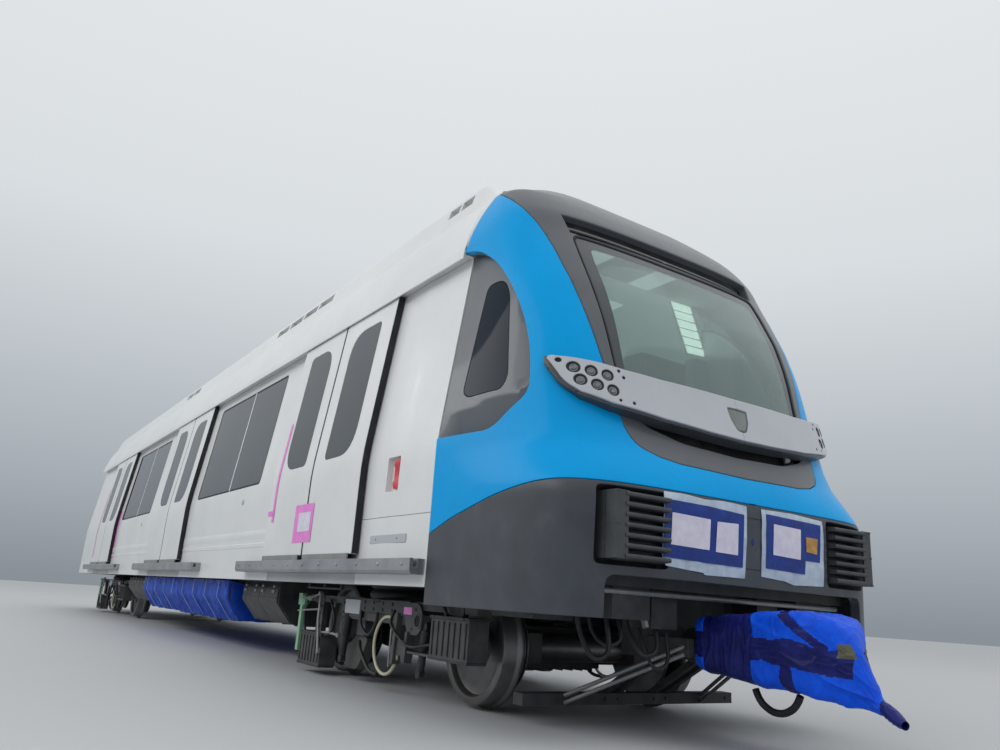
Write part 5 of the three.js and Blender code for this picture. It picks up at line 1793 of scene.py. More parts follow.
def paper(name, colour, shade):
    """Office paper gone wavy in the damp: waves about 40 mm long and a faint tooth."""
    material = new_material(name, IOR=1.4)
    paint(material, speckle(material, 0.05, 4.0), (0.35, shade), (0.75, colour))
    rough_between(material, speckle(material, 0.004, 2.0), 0.6, 0.85)
    bumps(material, [(speckle(material, 0.04, 2.0), 0.002)])
    return material


FILM = stuck_film("milky_plastic_film", "#c0ccda", "#a3b2c6")
BLUE_TAPE = stuck_film("blue_cloth_tape", "#08338f", "#062873", 0.12)
PAPER = paper("damp_white_paper", "#dcd8e4", "#cdc9d8")
CARD_STOCK = paper("tan_card", "#c79a5c", "#a9804a")
PINK_TAPE = stuck_film("pink_masking_tape", "#f08adb", "#de78c8", 0.1)


def pucker(seed, height):
    """A lift for stuck sheets: soft puckers that run mostly across."""

    def lift(u, z):
        waves = [noise.noise(Vector((a * 16 + seed, b * 9, seed)))
                 for a, b in zip(np.ravel(u), np.ravel(z))]
        return height * (0.5 + np.array(waves))

    return lift


PATCH_STEP = 0.012


def front_patch(name, corners, out, material, height=0.0, seed=0.0):
    """Something thin stuck on the bumper, with all its corners on one side of the middle."""
    sign = 1 if max(corners)[0] > 0.01 else -1
    line = from_front(finer(outline([(abs(y), z, 0.004) for y, z in corners], 2), PATCH_STEP))
    low, high = line.min(axis=0), line.max(axis=0)
    grid = np.array([(u, z) for z in np.arange(low[1], high[1], PATCH_STEP)
                     for u in np.arange(low[0], high[0], PATCH_STEP)])
    flat, triangles, middles = cells([line], grid, PATCH_STEP / 2)
    place = nose_place(out, lift=pucker(seed, height) if height else None)
    sheet = laid(flat, triangles[inside(line, middles)], place)
    return plate(name, sheet if sign > 0 else flipped(sheet), 0.0012, material, seam=0.0,
                 radius=0.0004, steps=1)


def make_notices():
    """Blank notices on the bumper: film, tape and papers, and the fine joints between its parts."""
    front_patch("notice_film_right", LEFT_FILM, 0.0025, FILM, 0.004, 1.0)
    front_patch("notice_film_left", RIGHT_FILM, 0.0025, FILM, 0.004, 5.0)
    front_patch("notice_tape_right", LEFT_TAPE, 0.0072, BLUE_TAPE, 0.0015, 2.0)
    front_patch("notice_tape_left", RIGHT_TAPE, 0.0072, BLUE_TAPE, 0.0015, 3.0)
    for k, corners in enumerate(PAPERS):
        front_patch(f"notice_paper_{k}", corners, 0.0100, PAPER, 0.0015, 4.0 + k)
    front_patch("notice_card", CARD, 0.0100, CARD_STOCK, 0.001, 9.0)
    front_patch("tape_dot", DOT, 0.0015, BLUE_TAPE)
    grooves = []
    for y0, y1, z in BUMPER_LINES:
        spots = np.array([(abs(y), z) for y in np.linspace(y0, y1, 5)])
        points, _ = nose_place(0.0002)(from_front(spots))
        points[:, 1] *= np.sign(np.linspace(y0, y1, 5))
        grooves.append(tube(points, 0.0016, 6))
    piece("bumper_joint_lines", *merged(grooves), SHADOW_BLACK)


def make_slot_fixture():
    """A small grey sensor housing at one end of the slot under the lamp band."""
    spots = from_front(np.array([(0.50, 1.590), (0.56, 1.604)]))
    points, normals = nose_place(-0.02)(spots)
    rings = []
    for point, normal in zip(points, normals):
        face = point + normal * 0.018
        rings.append(np.array([point - (0, 0, 0.018), face - (0, 0, 0.014),
                               face + (0, 0, 0.014), point + (0, 0, 0.018)]))
    fitted("slot_sensor", [skinned(rings)], PALE_STEEL, 0.004, 30)


# Bogies: wheels and outboard gear. In this section x counts from the pivot of each bogie.
def middle_x(first, last):
    """Middle between the rear of one node and the front of another, counted from the joint."""
    return (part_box(first)[0].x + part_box(last)[1].x) / 2 - JOINT_X


AXLE_LOW, AXLE_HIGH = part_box("wheelset_front_leading")
AXLE_Z = (AXLE_LOW.z + AXLE_HIGH.z) / 2
PIVOTS = {end: middle_x(f"wheelset_{end}_leading", f"wheelset_{end}_trailing") for end in ENDS}
HALF_WHEELBASE = 1.0
WHEEL_FACE = 0.8146
# Half of a wheelset, from the middle of the axle out: radius, y
WHEEL_HALF = [
    (0.086, 0.000), (0.086, 0.575), (0.150, 0.580), (0.280, 0.583), (0.284, 0.588), (0.284, 0.598),
    (0.130, 0.600), (0.130, 0.606), (0.284, 0.608), (0.284, 0.618), (0.280, 0.622), (0.110, 0.624),
    (0.112, 0.668), (0.130, 0.682), (0.270, 0.690), (0.296, 0.684), (0.345, 0.683), (0.362, 0.684),
    (0.372, 0.688), (0.3746, 0.695), (0.372, 0.703), (0.362, 0.711), (0.353, 0.717), (0.350, 0.725),
    (0.3475, 0.800), (0.344, 0.811), (0.337, WHEEL_FACE), (0.302, WHEEL_FACE), (0.295, 0.808),
    (0.288, 0.772), (0.268, 0.764), (0.142, 0.746), (0.122, 0.756), (0.113, 0.790), (0.110, 0.810),
    (0.104, WHEEL_FACE), (0.060, WHEEL_FACE), (0.056, 0.806), (0.000, 0.806),
]
HUB_BOLTS = {"circle": 0.083, "count": 8, "y": 0.810, "size": 0.009, "height": 0.0044}
COLLECTOR = {"x0": 0.88, "x1": 1.33, "height": 0.24, "low": {1: 0.29, -1: 0.07}, "hanger": 1.10}
LOOP = {"x": 0.19, "y": 1.014, "z": 0.31, "radius": 0.19, "thick": 0.0112}
AIR_SPRING = {"y": 0.80, "low": 0.60, "high": 0.762, "radius": 0.236}
BRACKET_HOLE = (0.637, 0.492)

GREEN_BOARD = lacquer("green_insulating_board", "#8fbf9c", "#7ba888", 0.5, 0.05)
CREAM_CONDUIT = lacquer("cream_flexible_conduit", "#c9c3ab", "#aba58c", 0.45, 0.05)
CABLE_BLACK = smooth_black("black_cable_sheath", "#17181a", 0.45)
WORN_TREAD = brushed_alloy("rolled_wheel_steel", "#6f6c69", 1)


def slab(corners, y0, y1):
    """A flat plate cut to an outline of (x, z), between two planes along y."""
    line = outline(corners)
    return skinned([across_y(line, y) for y in (y1, y0)])


def stud(x, y, z, size=0.013, axis=(0, 1, 0)):
    """A hexagon head that stands out of a face."""
    head = [(0.0, -0.004), (size, -0.004), (size, 0.5 * size), (0.8 * size, 0.65 * size),
            (0.0, 0.65 * size)]
    return revolved(head, (x, y, z), axis, 6)


def disc(x, y, z, radius, thick, segments=28):
    """A round boss or button on a face that looks out along y."""
    boss = [(0.0, 0.0), (radius, 0.0), (radius, 0.8 * thick), (0.9 * radius, thick), (0.0, thick)]
    return revolved(boss, (x, y, z), (0, 1, 0), segments)


def make_wheelset(end, place):
    """Monobloc wheels and brake discs pressed on an axle, with bolted hubs."""
    at = PIVOTS[end] + (HALF_WHEELBASE if place == "leading" else -HALF_WHEELBASE)
    profile = [(r, -y) for r, y in WHEEL_HALF[:0:-1]] + [(r, y) for r, y in WHEEL_HALF]
    size, height = HUB_BOLTS["size"], HUB_BOLTS["height"]
    bolt = [(0.0, 0.0), (size, 0.0), (size, height), (0.0, height)]
    bolts = [revolved(bolt, (x, HUB_BOLTS["y"], AXLE_Z + up), (0, 1, 0), 6)
             for x, up in round_spots(HUB_BOLTS["circle"], HUB_BOLTS["count"], 0.5)]
    fitted(f"wheels_dressed_{end}_{place}",
           [revolved(profile, (0, 0, AXLE_Z), (0, 1, 0), 96), *two_sided(bolts)], WORN_TREAD,
           pivot=at, body=f"wheels_{end}_{place}", slot="wheel_steel",
           replaces=[f"wheelset_{end}_{place}"])


def bracket_parts():
    """Outboard plate of the bolster with its rounded end, flange, lugs and bolts."""
    parts = [
        slab([(-0.28, 0.517, 0.01), (0.44, 0.517, 0.04), (0.50, 0.40, 0.05), (0.66, 0.40, 0.09),
              (0.70, 0.50, 0.09), (0.66, 0.60, 0.08), (0.50, 0.612, 0.05), (-0.28, 0.609, 0.02)],
             1.011, 1.025),
        block(-0.28, 0.55, 1.011, 1.046, 0.603, 0.611),
        block(-0.62, -0.24, 1.009, 1.019, 0.47, 0.60),
        slab([(0.33, 0.20, 0.01), (0.37, 0.20, 0.01), (0.39, 0.53, 0.01), (0.35, 0.53, 0.01)],
             0.99, 1.05),
        slab([(0.50, 0.22, 0.01), (0.53, 0.22, 0.01), (0.54, 0.42, 0.01), (0.51, 0.42, 0.01)],
             0.985, 1.045),
        block(0.37, 0.51, 0.97, 1.03, 0.26, 0.36),
        block(0.54, 0.93, 1.018, 1.036, 0.284, 0.300),
        slab([(-0.70, 0.21, 0.05), (-0.42, 0.37, 0.04), (-0.28, 0.32, 0.04), (-0.42, 0.09, 0.07),
              (-0.66, 0.09, 0.07)], 0.86, 0.935),
        block(-0.44, -0.30, 0.86, 0.96, 0.34, 0.47),
    ]
    for x in (-0.20, -0.05, 0.10, 0.25):
        parts += [stud(x, 1.025, 0.585), stud(x, 1.025, 0.540)]
    lug_bolts = ((0.44, 0.30), (0.44, 0.33), (0.60, 0.56), (0.56, 0.44), (-0.58, 0.57), (-0.58, 0.50))
    parts += [stud(x, 1.024, z, 0.011) for x, z in lug_bolts]
    rim = [(0.036, 0.0), (0.050, 0.0), (0.048, 0.006), (0.038, 0.006)]
    x, z = BRACKET_HOLE
    return [*parts, revolved(rim, (x, 1.024, z), (0, 1, 0), 32)]


def damper_parts(x, low, high, y=1.005):
    """Hydraulic damper: a wide lower barrel, a dust tube and an eye at each end."""
    top, foot = Vector((x + 0.05, y, high)), Vector((x, y, low))
    along = (top - foot).normalized()
    length = (top - foot).length
    barrel = [(0.0, 0.02), (0.026, 0.02), (0.026, 0.5 * length), (0.034, 0.5 * length),
              (0.034, 0.93 * length), (0.0, 0.93 * length)]
    eye = [(0.0, -0.02), (0.03, -0.02), (0.03, 0.02), (0.0, 0.02)]
    eyes = [revolved(eye, spot, (0, 1, 0), 20) for spot in (foot, top)]
    return [revolved(barrel, foot, along, 20), *eyes]


def collector_parts():
    """Lid, ribs, feet and bolts of the outboard boxes at the ends of the beam."""
    parts = []
    for way, low in COLLECTOR["low"].items():
        high = low + COLLECTOR["height"]
        x0, x1 = sorted((way * COLLECTOR["x0"], way * COLLECTOR["x1"]))
        parts.append(block(x0 - 0.010, x1 + 0.010, 0.915, 1.070, high - 0.006, high + 0.012))
        parts.append(block(x0 - 0.008, x1 + 0.008, 0.930, 1.066, low - 0.010, low + 0.004))
        for x in np.linspace(x0 + 0.03, x1 - 0.03, 7):
            parts.append(block(x - 0.006, x + 0.006, 1.058, 1.068, low + 0.02, high - 0.02))
        parts += [stud(x, 1.068, high + 0.003, 0.009) for x in (x0 + 0.05, x1 - 0.05)]
        hanger = way * COLLECTOR["hanger"]
        parts += [stud(hanger + dx, 1.007, z, 0.011)
                  for z in (low + 0.30, 0.53, 0.58) for dx in (-0.035, 0.035)]
        parts.append(block(hanger - 0.085, hanger + 0.085, 1.004, 1.014, 0.548, 0.618))
    return parts


def pipe_parts():
    """Bright pipes: two uprights at the rear collector with level runs, and the brake pipe."""
    runs = [
        (0.008, [(-1.42, 1.050, 0.576), (-1.20, 1.05, 0.590), (-1.05, 1.05, 0.618), (-0.99, 1.05, 0.624)]),
        (0.008, [(-1.50, 1.045, 0.470), (-1.25, 1.05, 0.486), (-0.96, 1.06, 0.502)]),
        (0.012, [(-0.92, 1.052, 0.322), (-0.80, 1.04, 0.330), (-0.62, 1.03, 0.322)]),
        (0.007, [(0.28, 1.030, 0.50), (0.31, 1.045, 0.35), (0.30, 1.04, 0.18)]),
    ]
    unions = [(-1.01, 1.040, 0.622, 0.020, 0.028), (-0.965, 1.050, 0.502, 0.018, 0.024),
              (-0.872, 1.064, 0.185, 0.020, 0.024), (-0.62, 1.016, 0.322, 0.020, 0.026)]
    upright = tube([(-1.01, 1.050, 0.622), (-0.95, 1.074, 0.42), (-0.872, 1.080, 0.180)], 0.011, 12)
    return [upright, *[tube(curve_through(run), radius) for radius, run in runs],
            *[disc(*union) for union in unions]]


def cable_parts():
    """Cables that lie along the gear between clips: (radius, route)."""
    routes = [
        (0.010, [(-0.86, 1.02, 0.58), (-0.76, 1.05, 0.55), (-0.68, 1.05, 0.44), (-0.74, 1.04, 0.34),
                 (-0.88, 1.04, 0.30)]),
        (0.012, [(-0.24, 1.03, 0.52), (-0.20, 1.04, 0.42), (-0.06, 1.04, 0.36), (0.02, 1.03, 0.44),
                 (0.04, 1.03, 0.52)]),
        (0.009, [(0.30, 1.03, 0.55), (0.32, 1.06, 0.46), (0.46, 1.065, 0.38), (0.62, 1.06, 0.33),
                 (0.87, 1.05, 0.36)]),
        (0.011, [(-1.32, 0.99, 0.58), (-1.38, 1.02, 0.50), (-1.36, 1.03, 0.38), (-1.31, 1.02, 0.28)]),
        (0.012, [(0.92, 1.00, 0.62), (0.98, 1.04, 0.60), (1.03, 1.05, 0.57), (1.04, 1.045, 0.53)]),
        (0.014, [(-0.30, 0.99, 0.30), (-0.18, 1.03, 0.24), (-0.02, 1.03, 0.13), (0.12, 1.03, 0.11)]),
    ]
    return [tube(curve_through(route), radius, 10) for radius, route in routes]


def conduit_loop():
    """The pale conduit that hangs in a full loop outside the bolster."""
    turn = np.linspace(0, 2 * math.pi, 65)
    path = [(LOOP["x"] + LOOP["radius"] * math.cos(a), LOOP["y"],
             LOOP["z"] + LOOP["radius"] * math.sin(a)) for a in turn]
    return tube(path, LOOP["thick"], 12)


def bellows_profile():
    """Two lobes of a rolling rubber air spring, between its bead plates: (radius, height)."""
    low, high, radius = AIR_SPRING["low"], AIR_SPRING["high"], AIR_SPRING["radius"]
    rows = [(0.20, low - 0.008), (radius, low - 0.008), (radius, low + 0.004)]
    for share in np.linspace(0, 1, 17):
        bulge = abs(math.sin(2 * math.pi * share)) ** 0.6
        rows.append((radius - 0.004 + 0.026 * bulge, low + 0.006 + share * (high - low - 0.012)))
    return rows + [(radius, high - 0.004), (radius, high + 0.006), (0.20, high + 0.006)]


def motor_parts():
    """Cooling ribs and covers under the two motors and their gear cases."""
    parts = []
    for way in (1, -1):
        x0, x1 = sorted((way * 0.32, way * 0.77))
        parts += [block(x0, x1, y - 0.006, y + 0.006, 0.212, 0.240) for y in -0.36 + 0.09 * np.arange(9)]
        parts.append(block(x0 + 0.06, x1 - 0.06, -0.40, 0.40, 0.222, 0.232))
    return parts


def bogie_gear():
    """What hangs on one side of a bogie: (name, parts, material, bevel)."""
    x, z = BRACKET_HOLE
    board = [block(-1.455, -1.405, 1.012, 1.052, 0.15, 0.60), block(-1.52, -1.38, 1.018, 1.046, 0.52, 0.60),
             block(-1.50, -1.42, 1.006, 1.056, 0.598, 0.618),
             block(-1.405, -1.30, 1.006, 1.02, 0.56, 0.60)]
    return [
        ("bogie_bracket", bracket_parts(), BOGIE_STEEL, 0.003),
        ("bogie_dampers", damper_parts(-0.56, 0.16, 0.50) + damper_parts(0.66, 0.17, 0.46, 0.99),
         CABLE_BLACK, 0.0),
        ("collector_fittings", collector_parts(), DARK_STEEL, 0.002),
        ("bogie_pipes", pipe_parts(), PALE_STEEL, 0.0),
        ("bogie_cables", cable_parts(), CABLE_BLACK, 0.0),
        ("conduit_loop", [conduit_loop()], CREAM_CONDUIT, 0.0),
        ("insulating_board", board, GREEN_BOARD, 0.004),
        ("hung_plate", [block(-0.555, -0.285, 1.020, 1.026, 0.494, 0.598)], SILVER_LACQUER, 0.002),
        ("blank_label", [block(0.43, 0.545, 1.0252, 1.0262, 0.527, 0.574)], PINK_TAPE, 0.0),
        # A flat black disc in the bracket's hole: painted shade.
        ("bracket_hole", [revolved([(0.0, 0.0), (0.037, 0.0)], (x, 1.0256, z), (0, 1, 0), 32)],
         SHADOW_BLACK, 0.0),
        ("air_spring", [revolved(bellows_profile(), (0, AIR_SPRING["y"], 0), (0, 0, 1), 56)], RUBBER, 0.0),
    ]


def make_bogies():
    """Both bogies: wheelsets, the gear on either side, and the ribs of the motors."""
    for end, pivot in PIVOTS.items():
        place_on = {"pivot": pivot, "body": f"bogie_{end}"}
        for place in ("leading", "trailing"):
            make_wheelset(end, place)
        for side, sign in SIDES.items():
            for name, parts, material, bevel in bogie_gear():
                fitted(f"{name}_{end}_{side}", sided(parts, sign), material, bevel, **place_on)
        fitted(f"motor_ribs_{end}", motor_parts(), BOGIE_STEEL, **place_on)


# Equipment on the underframe
CASE_PROFILE = {"shoulder": 0.650, "waist": 0.520, "slope": 0.160}
RIB_PITCH = 0.35


def case_covers(name, x0, x1, half, low, bays):
    """Hinged covers on both sides of a case, with latches, and ribs under its floor."""
    covers, latches = [], []
    width = (x1 - x0 - 0.04) / bays
    line = np.array([(half, CASE_PROFILE["shoulder"] - 0.012), (half, CASE_PROFILE["waist"] + 0.004),
                     (half - CASE_PROFILE["slope"] + 0.01, low + 0.012)])
    ring = np.vstack([line + [(0.012, 0.0), (0.012, -0.004), (0.008, -0.008)], line[::-1]])
    for k in range(bays):
        a = x0 + 0.02 + k * width + 0.006
        b = a + width - 0.012
        covers.append(extruded(ring, (a, b)))
        covers.append(block(a + 0.02, b - 0.02, half + 0.008, half + 0.016, 0.545, 0.560))
        for x in (a + 0.10, b - 0.10):
            latches.append(block(x - 0.035, x + 0.035, half + 0.010, half + 0.024, 0.60, 0.625))
            latches.append(block(x - 0.02, x + 0.02, half - 0.01, half + 0.02, 0.644, 0.668))
    spots = np.linspace(x0 + 0.06, x1 - 0.06, int((x1 - x0) / RIB_PITCH) + 1)
    ribs = [block(x - 0.02, x + 0.02, -half + 0.20, half - 0.20, low - 0.014, low + 0.004) for x in spots]
    fitted(f"{name}_covers", two_sided(covers) + ribs, BOGIE_STEEL, 0.003)
    fitted(f"{name}_latches", two_sided(latches), PALE_STEEL, 0.002)


SHEETED = {"x0": -8.70, "x1": -4.42, "half": 1.18, "low": 0.30}
SHEET_STEP = 0.022
TUCK = 0.24
BALER_CORD = lacquer("twisted_polypropylene_cord", "#a9b8d2", "#8b9cbd", 0.5, 0.0)


def make_case_sheeting():
    """The long case under blue sheeting: one sheet drawn round it from both sides and turned in
    over its ends, with creases that run down from the cords that hold it."""
    low, half = SHEETED["low"], SHEETED["half"]
    corner = [(half, 0.690), (half + 0.004, 0.52), (half - 0.16, low - 0.004)]
    section = np.array([*corner, *[(-y, z) for y, z in corner[::-1]]])
    fine = finer(section, SHEET_STEP, closed=False)
    rows = [(SHEETED["x0"] - 0.012 - 0.004 * share, share * TUCK) for share in (1.0, 0.75, 0.5, 0.25)]
    rows += [(x, 0.0) for x in np.arange(SHEETED["x0"], SHEETED["x1"] + 0.001, SHEET_STEP)]
    rows += [(SHEETED["x1"] + 0.012 + 0.004 * share, share * TUCK) for share in (0.25, 0.5, 0.75, 1.0)]
    points = []
    middle = np.array([0.0, 0.50])
    for x, turned in rows:
        for y, z in fine:
            reach = middle - (y, z)
            towards = reach / np.linalg.norm(reach)
            py, pz = np.array([y, z]) + towards * min(turned, 0.9 * np.linalg.norm(reach))
            creases = 0.012 * crumpled((x * 1.1, y * 0.6, z * 1.4), 0.30, 2.3)
            creases += 0.005 * crumpled((x, y, z), 0.10, 9.1)
            hang = 0.008 * math.sin(x * 9 + 2 * math.sin(x * 2.3)) * min(max((0.69 - pz) / 0.2, 0), 1)
            lift = 0.016 + max(creases + hang, -0.012)
            steep = math.copysign(1.0, y) if abs(y) > half - 0.165 else 0.0
            away = np.array([steep, -0.7 if pz < 0.50 else 0.0])
            py, pz = np.array([py, pz]) + away * lift
            points.append((x + (0.4 * creases if turned else 0.0), py, pz))
    count = len(fine)
    faces = [(i * count + k, (i + 1) * count + k, (i + 1) * count + k + 1, i * count + k + 1)
             for i in range(len(rows) - 1) for k in range(count - 1)]
    sheet = piece("case_sheeting", points, faces, DEEP_TARP, slot="blue_sheeting")
    cords = []
    for x in SHEETED["x0"] + 0.30 + 0.525 * np.arange(8):
        line = [(x, y + math.copysign(0.030, y), z) if abs(y) > 1.0 else (x, y, z - 0.022)
                for y, z in section]
        cords.append(tube(finer(np.array(line), 0.2, closed=False), 0.004, 8))
    fitted("sheeting_bands", cords, BALER_CORD)


PIPE_RUNS = [(-3.12, -1.56), (-0.88, -0.30), (-14.10, -12.66), (-11.98, -10.36)]
PIPES = [(0.98, 0.021), (0.93, 0.014), (0.88, 0.017)]
PIPE_Z = 0.748


def make_underframe():
    """Pipes and cable trays along the floor, gear round the draw box, and covers of the cases."""
    case_covers("traction_case", -4.25, -3.15, 1.08, 0.33, 2)
    case_covers("auxiliary_case", -10.30, -8.90, 1.12, 0.34, 3)
    make_case_sheeting()
    pipes, clips = [], []
    for x0, x1 in PIPE_RUNS:
        for y, radius in PIPES:
            route = [(x0, y, 0.800), (x0 + 0.012, y, 0.770), (x0 + 0.045, y, PIPE_Z),
                     (x1 - 0.045, y, PIPE_Z), (x1 - 0.012, y, 0.770), (x1, y, 0.800)]
            pipes.append(tube(route, radius, 14))
        for x in np.linspace(x0 + 0.15, x1 - 0.15, 3):
            clips.append(block(x - 0.02, x + 0.02, 0.855, 1.01, 0.768, 0.790))
            clips.append(block(x - 0.012, x + 0.012, 0.855, 1.01, 0.724, 0.732))
    trays = [block(-3.10, 0.54, 0.34, 0.50, 0.744, 0.788), block(-2.56, -1.84, 1.02, 1.05, 0.660, 0.676),
             *[block(x - 0.012, x + 0.012, 1.024, 1.046, 0.67, 0.80) for x in (-2.54, -2.20, -1.86)],
             block(0.22, 0.62, 0.70, 0.98, 0.57, 0.79), block(0.24, 0.60, 0.975, 0.988, 0.59, 0.77)]
    fitted("underframe_pipes", two_sided(pipes), PALE_STEEL)
    fitted("pipe_clips", two_sided(clips), DARK_STEEL)
    fitted("cable_trays", two_sided(trays), BOGIE_STEEL, 0.004)
    make_draw_gear()


def make_draw_gear():
    """Round the coupler: two slanting stays, air cocks, pipes and cables under the headstock."""
    cock = [(0.0, 0.0), (0.028, 0.0), (0.028, 0.05), (0.018, 0.06), (0.018, 0.10), (0.0, 0.10)]
    bright = [tube([(0.402, 0.565, 0.115 + rise), (1.070, 0.275, 0.445 + rise)], 0.012, 10)
              for rise in (0.0, 0.040)]
    bright += [revolved(cock, (1.02, 0.56, 0.66), (0.3, 0, -1), 18),
               block(1.02, 1.034, 0.54, 0.66, 0.635, 0.655)]
    dark = [block(0.78, 1.09, 0.240, 0.290, 0.43, 0.52),
            slab([(0.98, 0.47, 0.01), (1.10, 0.47, 0.01), (1.08, 0.42, 0.01), (1.01, 0.43, 0.01)],
                 0.255, 0.268),
            block(0.90, 1.12, 0.60, 0.86, 0.60, 0.76), block(0.86, 1.05, 0.33, 0.52, 0.56, 0.76)]
    dark += [stud(0.40, y, 0.132, 0.012, (1, 0, 0)) for y in (0.15, 0.25, 0.60, 0.80)]
    cables = []
    sizes = ((0.010, 0.36, 0.40), (0.013, 0.44, 0.46), (0.010, 0.70, 0.50), (0.013, 0.78, 0.44))
    for radius, y, drop in sizes:
        route = [(0.94, y, 0.76), (0.98, y, 0.62), (1.03, y + 0.02, drop), (1.00, y + 0.10, drop - 0.03),
                 (0.92, y + 0.13, 0.56), (0.90, y + 0.13, 0.76)]
        cables.append(tube(curve_through(route), radius, 10))
    rail = tube([(1.125, -0.98, 0.735), (1.125, 0.98, 0.735)], 0.014, 12)
    fitted("draw_gear_stays", [*two_sided(bright), rail], PALE_STEEL)
    fitted("draw_gear_boxes", two_sided(dark), DARK_STEEL, 0.004)
    fitted("draw_gear_cables", two_sided(cables), CABLE_BLACK)


# Small things on the sides
SIDE_LATCH = {"behind": 1.983, "z": 1.450, "radius": 0.030}
FLUTES = [(1.108, 0.050), (1.012, 0.026)]
TAPE_FRAME = (-2.170, -1.770, 1.000, 1.300)
DOOR_PAPER = (-2.080, -1.815, 1.085, 1.235)
# Strips of tape on the leaves: door, x from and to, z from and to
TAPE_STRIPS = [(1, -2.755, -2.705, 1.190, 2.080), (1, -2.870, -2.700, 1.245, 1.290),
               (3, -13.120, -13.060, 1.000, 2.300)]
WALL_TAPE = (-11.265, -11.150, 0.960, 1.770)


def make_side_details():
    """Flutes under the windows, the blank plate with its screws, and the latches by the doors."""
    flutes = []
    y = HALF_WIDTH - 0.002
    for x0, x1 in [(x0, x1) for x0, x1, windows in wall_stretches() if windows]:
        for z, height in FLUTES:
            section = [(y, z - height), (y + 0.006, z - 0.6 * height), (y + 0.006, z + 0.6 * height),
                       (y, z + height)]
            flutes.append(extruded(section, (x1 - 0.02, x0 + 0.02)))
    latches = [disc(centre - SIDE_LATCH["behind"], y, SIDE_LATCH["z"], SIDE_LATCH["radius"], 0.007)
               for centre in DOOR_CENTRES[:2]]
    x0, x1, z0, z1 = PLATE_BOX
    face = HALF_WIDTH + 0.002
    blank = slab(rectangle(*PLATE_BOX, 0.008), face - 0.003, face + 0.004)
    screws = [disc(x, face + 0.002, (z0 + z1) / 2, 0.006, 0.003, 16) for x in (x0 + 0.09, x1 - 0.12)]
    for side, sign in SIDES.items():
        fitted(f"wall_flutes_{side}", sided(flutes, sign), WHITE_LACQUER, 0.002, 20, slot="white_paint")
        fitted(f"blank_plate_{side}", sided([blank], sign), SILVER_LACQUER, 0.001, 30, slot="silver_paint")
        piece(f"plate_screws_{side}", *merged(sided(screws, sign)), DARK_STEEL)
        fitted(f"side_latches_{side}", sided(latches, sign), SILVER_LACQUER, 0.0, 30)
    make_side_tapes()


def side_patch(name, box, radius, material, body, out=0.061):
    """A thin film on the right side: box is x from and to, z from and to, and out is how far it
    stands off the wall."""
    line = finer(outline(rectangle(*box, radius)), 0.02)
    grid = strip_grid(box[0], box[1], 0.05, np.arange(0.9, 2.9, 0.04))
    flat, triangles, middles = cells([line], grid, 0.012)
    made = laid(flat, triangles[inside(line, middles)], wall_place(SIDES["right"], out))
    return piece(name, made.points, made.faces, material, made.normals, body=body)


def make_side_tapes():
    """Pink tape and a blank paper on the shut doors of one side. Each rides on the leaf that its
    larger part is stuck to."""
    side_patch("door_tape_frame", TAPE_FRAME, 0.004, PINK_TAPE, "leaf_1_right_aft")
    side_patch("door_paper", DOOR_PAPER, 0.002, PAPER, "leaf_1_right_aft", 0.0625)
    for k, (door, *box) in enumerate(TAPE_STRIPS):
        side_patch(f"door_tape_strip_{k}", box, 0.003, PINK_TAPE, f"leaf_{door}_right_aft")
    side_patch("wall_tape_strip", WALL_TAPE, 0.003, PINK_TAPE, "car_body", 0.0015)


# Roof gear: counted from the joint like the rest, on the deck's own height
DECK_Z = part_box("air_conditioner_front")[0].z
COOLER_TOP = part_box("air_conditioner_front")[1].z
COOLER = {"half_length": 1.45, "half_width": 0.70, "fan_at": 0.725, "lids": 4}
COOLER_CENTRES = {end: middle_x(f"air_conditioner_{end}", f"air_conditioner_{end}") for end in ENDS}
FAN_RADIUS = 0.27
FAN_LANE = 0.31
LOUVRES = 9
VENTS_AT = (-0.95, -7.10, -13.2)
UP = (0, 0, 1)


def ring_path(x, y, z, radius, count=49):
    """A level circle as a path."""
    turn = np.linspace(0, 2 * math.pi, count)
    return [(x + radius * math.cos(a), y + radius * math.sin(a), z) for a in turn]


def fan_parts(x):
    """Wire guard of five rings and eight spokes over a fan opening, with a rolled rim."""
    z = COOLER_TOP + 0.009
    parts = [tube(ring_path(x, 0, z, 0.046 * k + 0.02), 0.0028, 8) for k in range(1, 6)]
    parts.append(tube(ring_path(x, 0, z - 0.002, FAN_RADIUS + 0.004), 0.007, 10))
    for k in range(8):
        angle = math.pi * k / 4 + 0.2
        c, s = math.cos(angle), math.sin(angle)
        spoke = [(x + r * c, r * s, z + 0.003) for r in (0.05, FAN_RADIUS)]
        parts.append(tube(spoke, 0.0032, 8))
    cap = [(0.0, 0.0), (0.062, 0.0), (0.060, 0.006), (0.0, 0.009)]
    return [*parts, revolved(cap, (x, 0, z), UP, 28)]


def blade_parts(x):
    """Five swept blades on a hub, sunk in the fan opening."""
    hub = [(0.0, -0.03), (0.075, -0.03), (0.075, 0.02), (0.06, 0.03), (0.0, 0.03)]
    parts = [revolved(hub, (x, 0, COOLER_TOP - 0.055), UP, 28)]
    root, tip, blades, rise = 0.07, 0.252, 5, 0.036
    for k in range(blades):
        points = []
        for r in np.linspace(root, tip, 6):
            lead = 2 * math.pi * k / blades + 0.9 * (r - root)
            width = 0.55 - 0.9 * (r - root)
            points += [(x + r * math.cos(lead + width * t), r * math.sin(lead + width * t),
                        COOLER_TOP - 0.070 + rise * t) for t in (0.0, 0.33, 0.66, 1.0)]
        faces = [(i * 4 + j, (i + 1) * 4 + j, (i + 1) * 4 + j + 1, i * 4 + j + 1)
                 for i in range(5) for j in range(3)]
        parts.append((points, faces))
    return parts


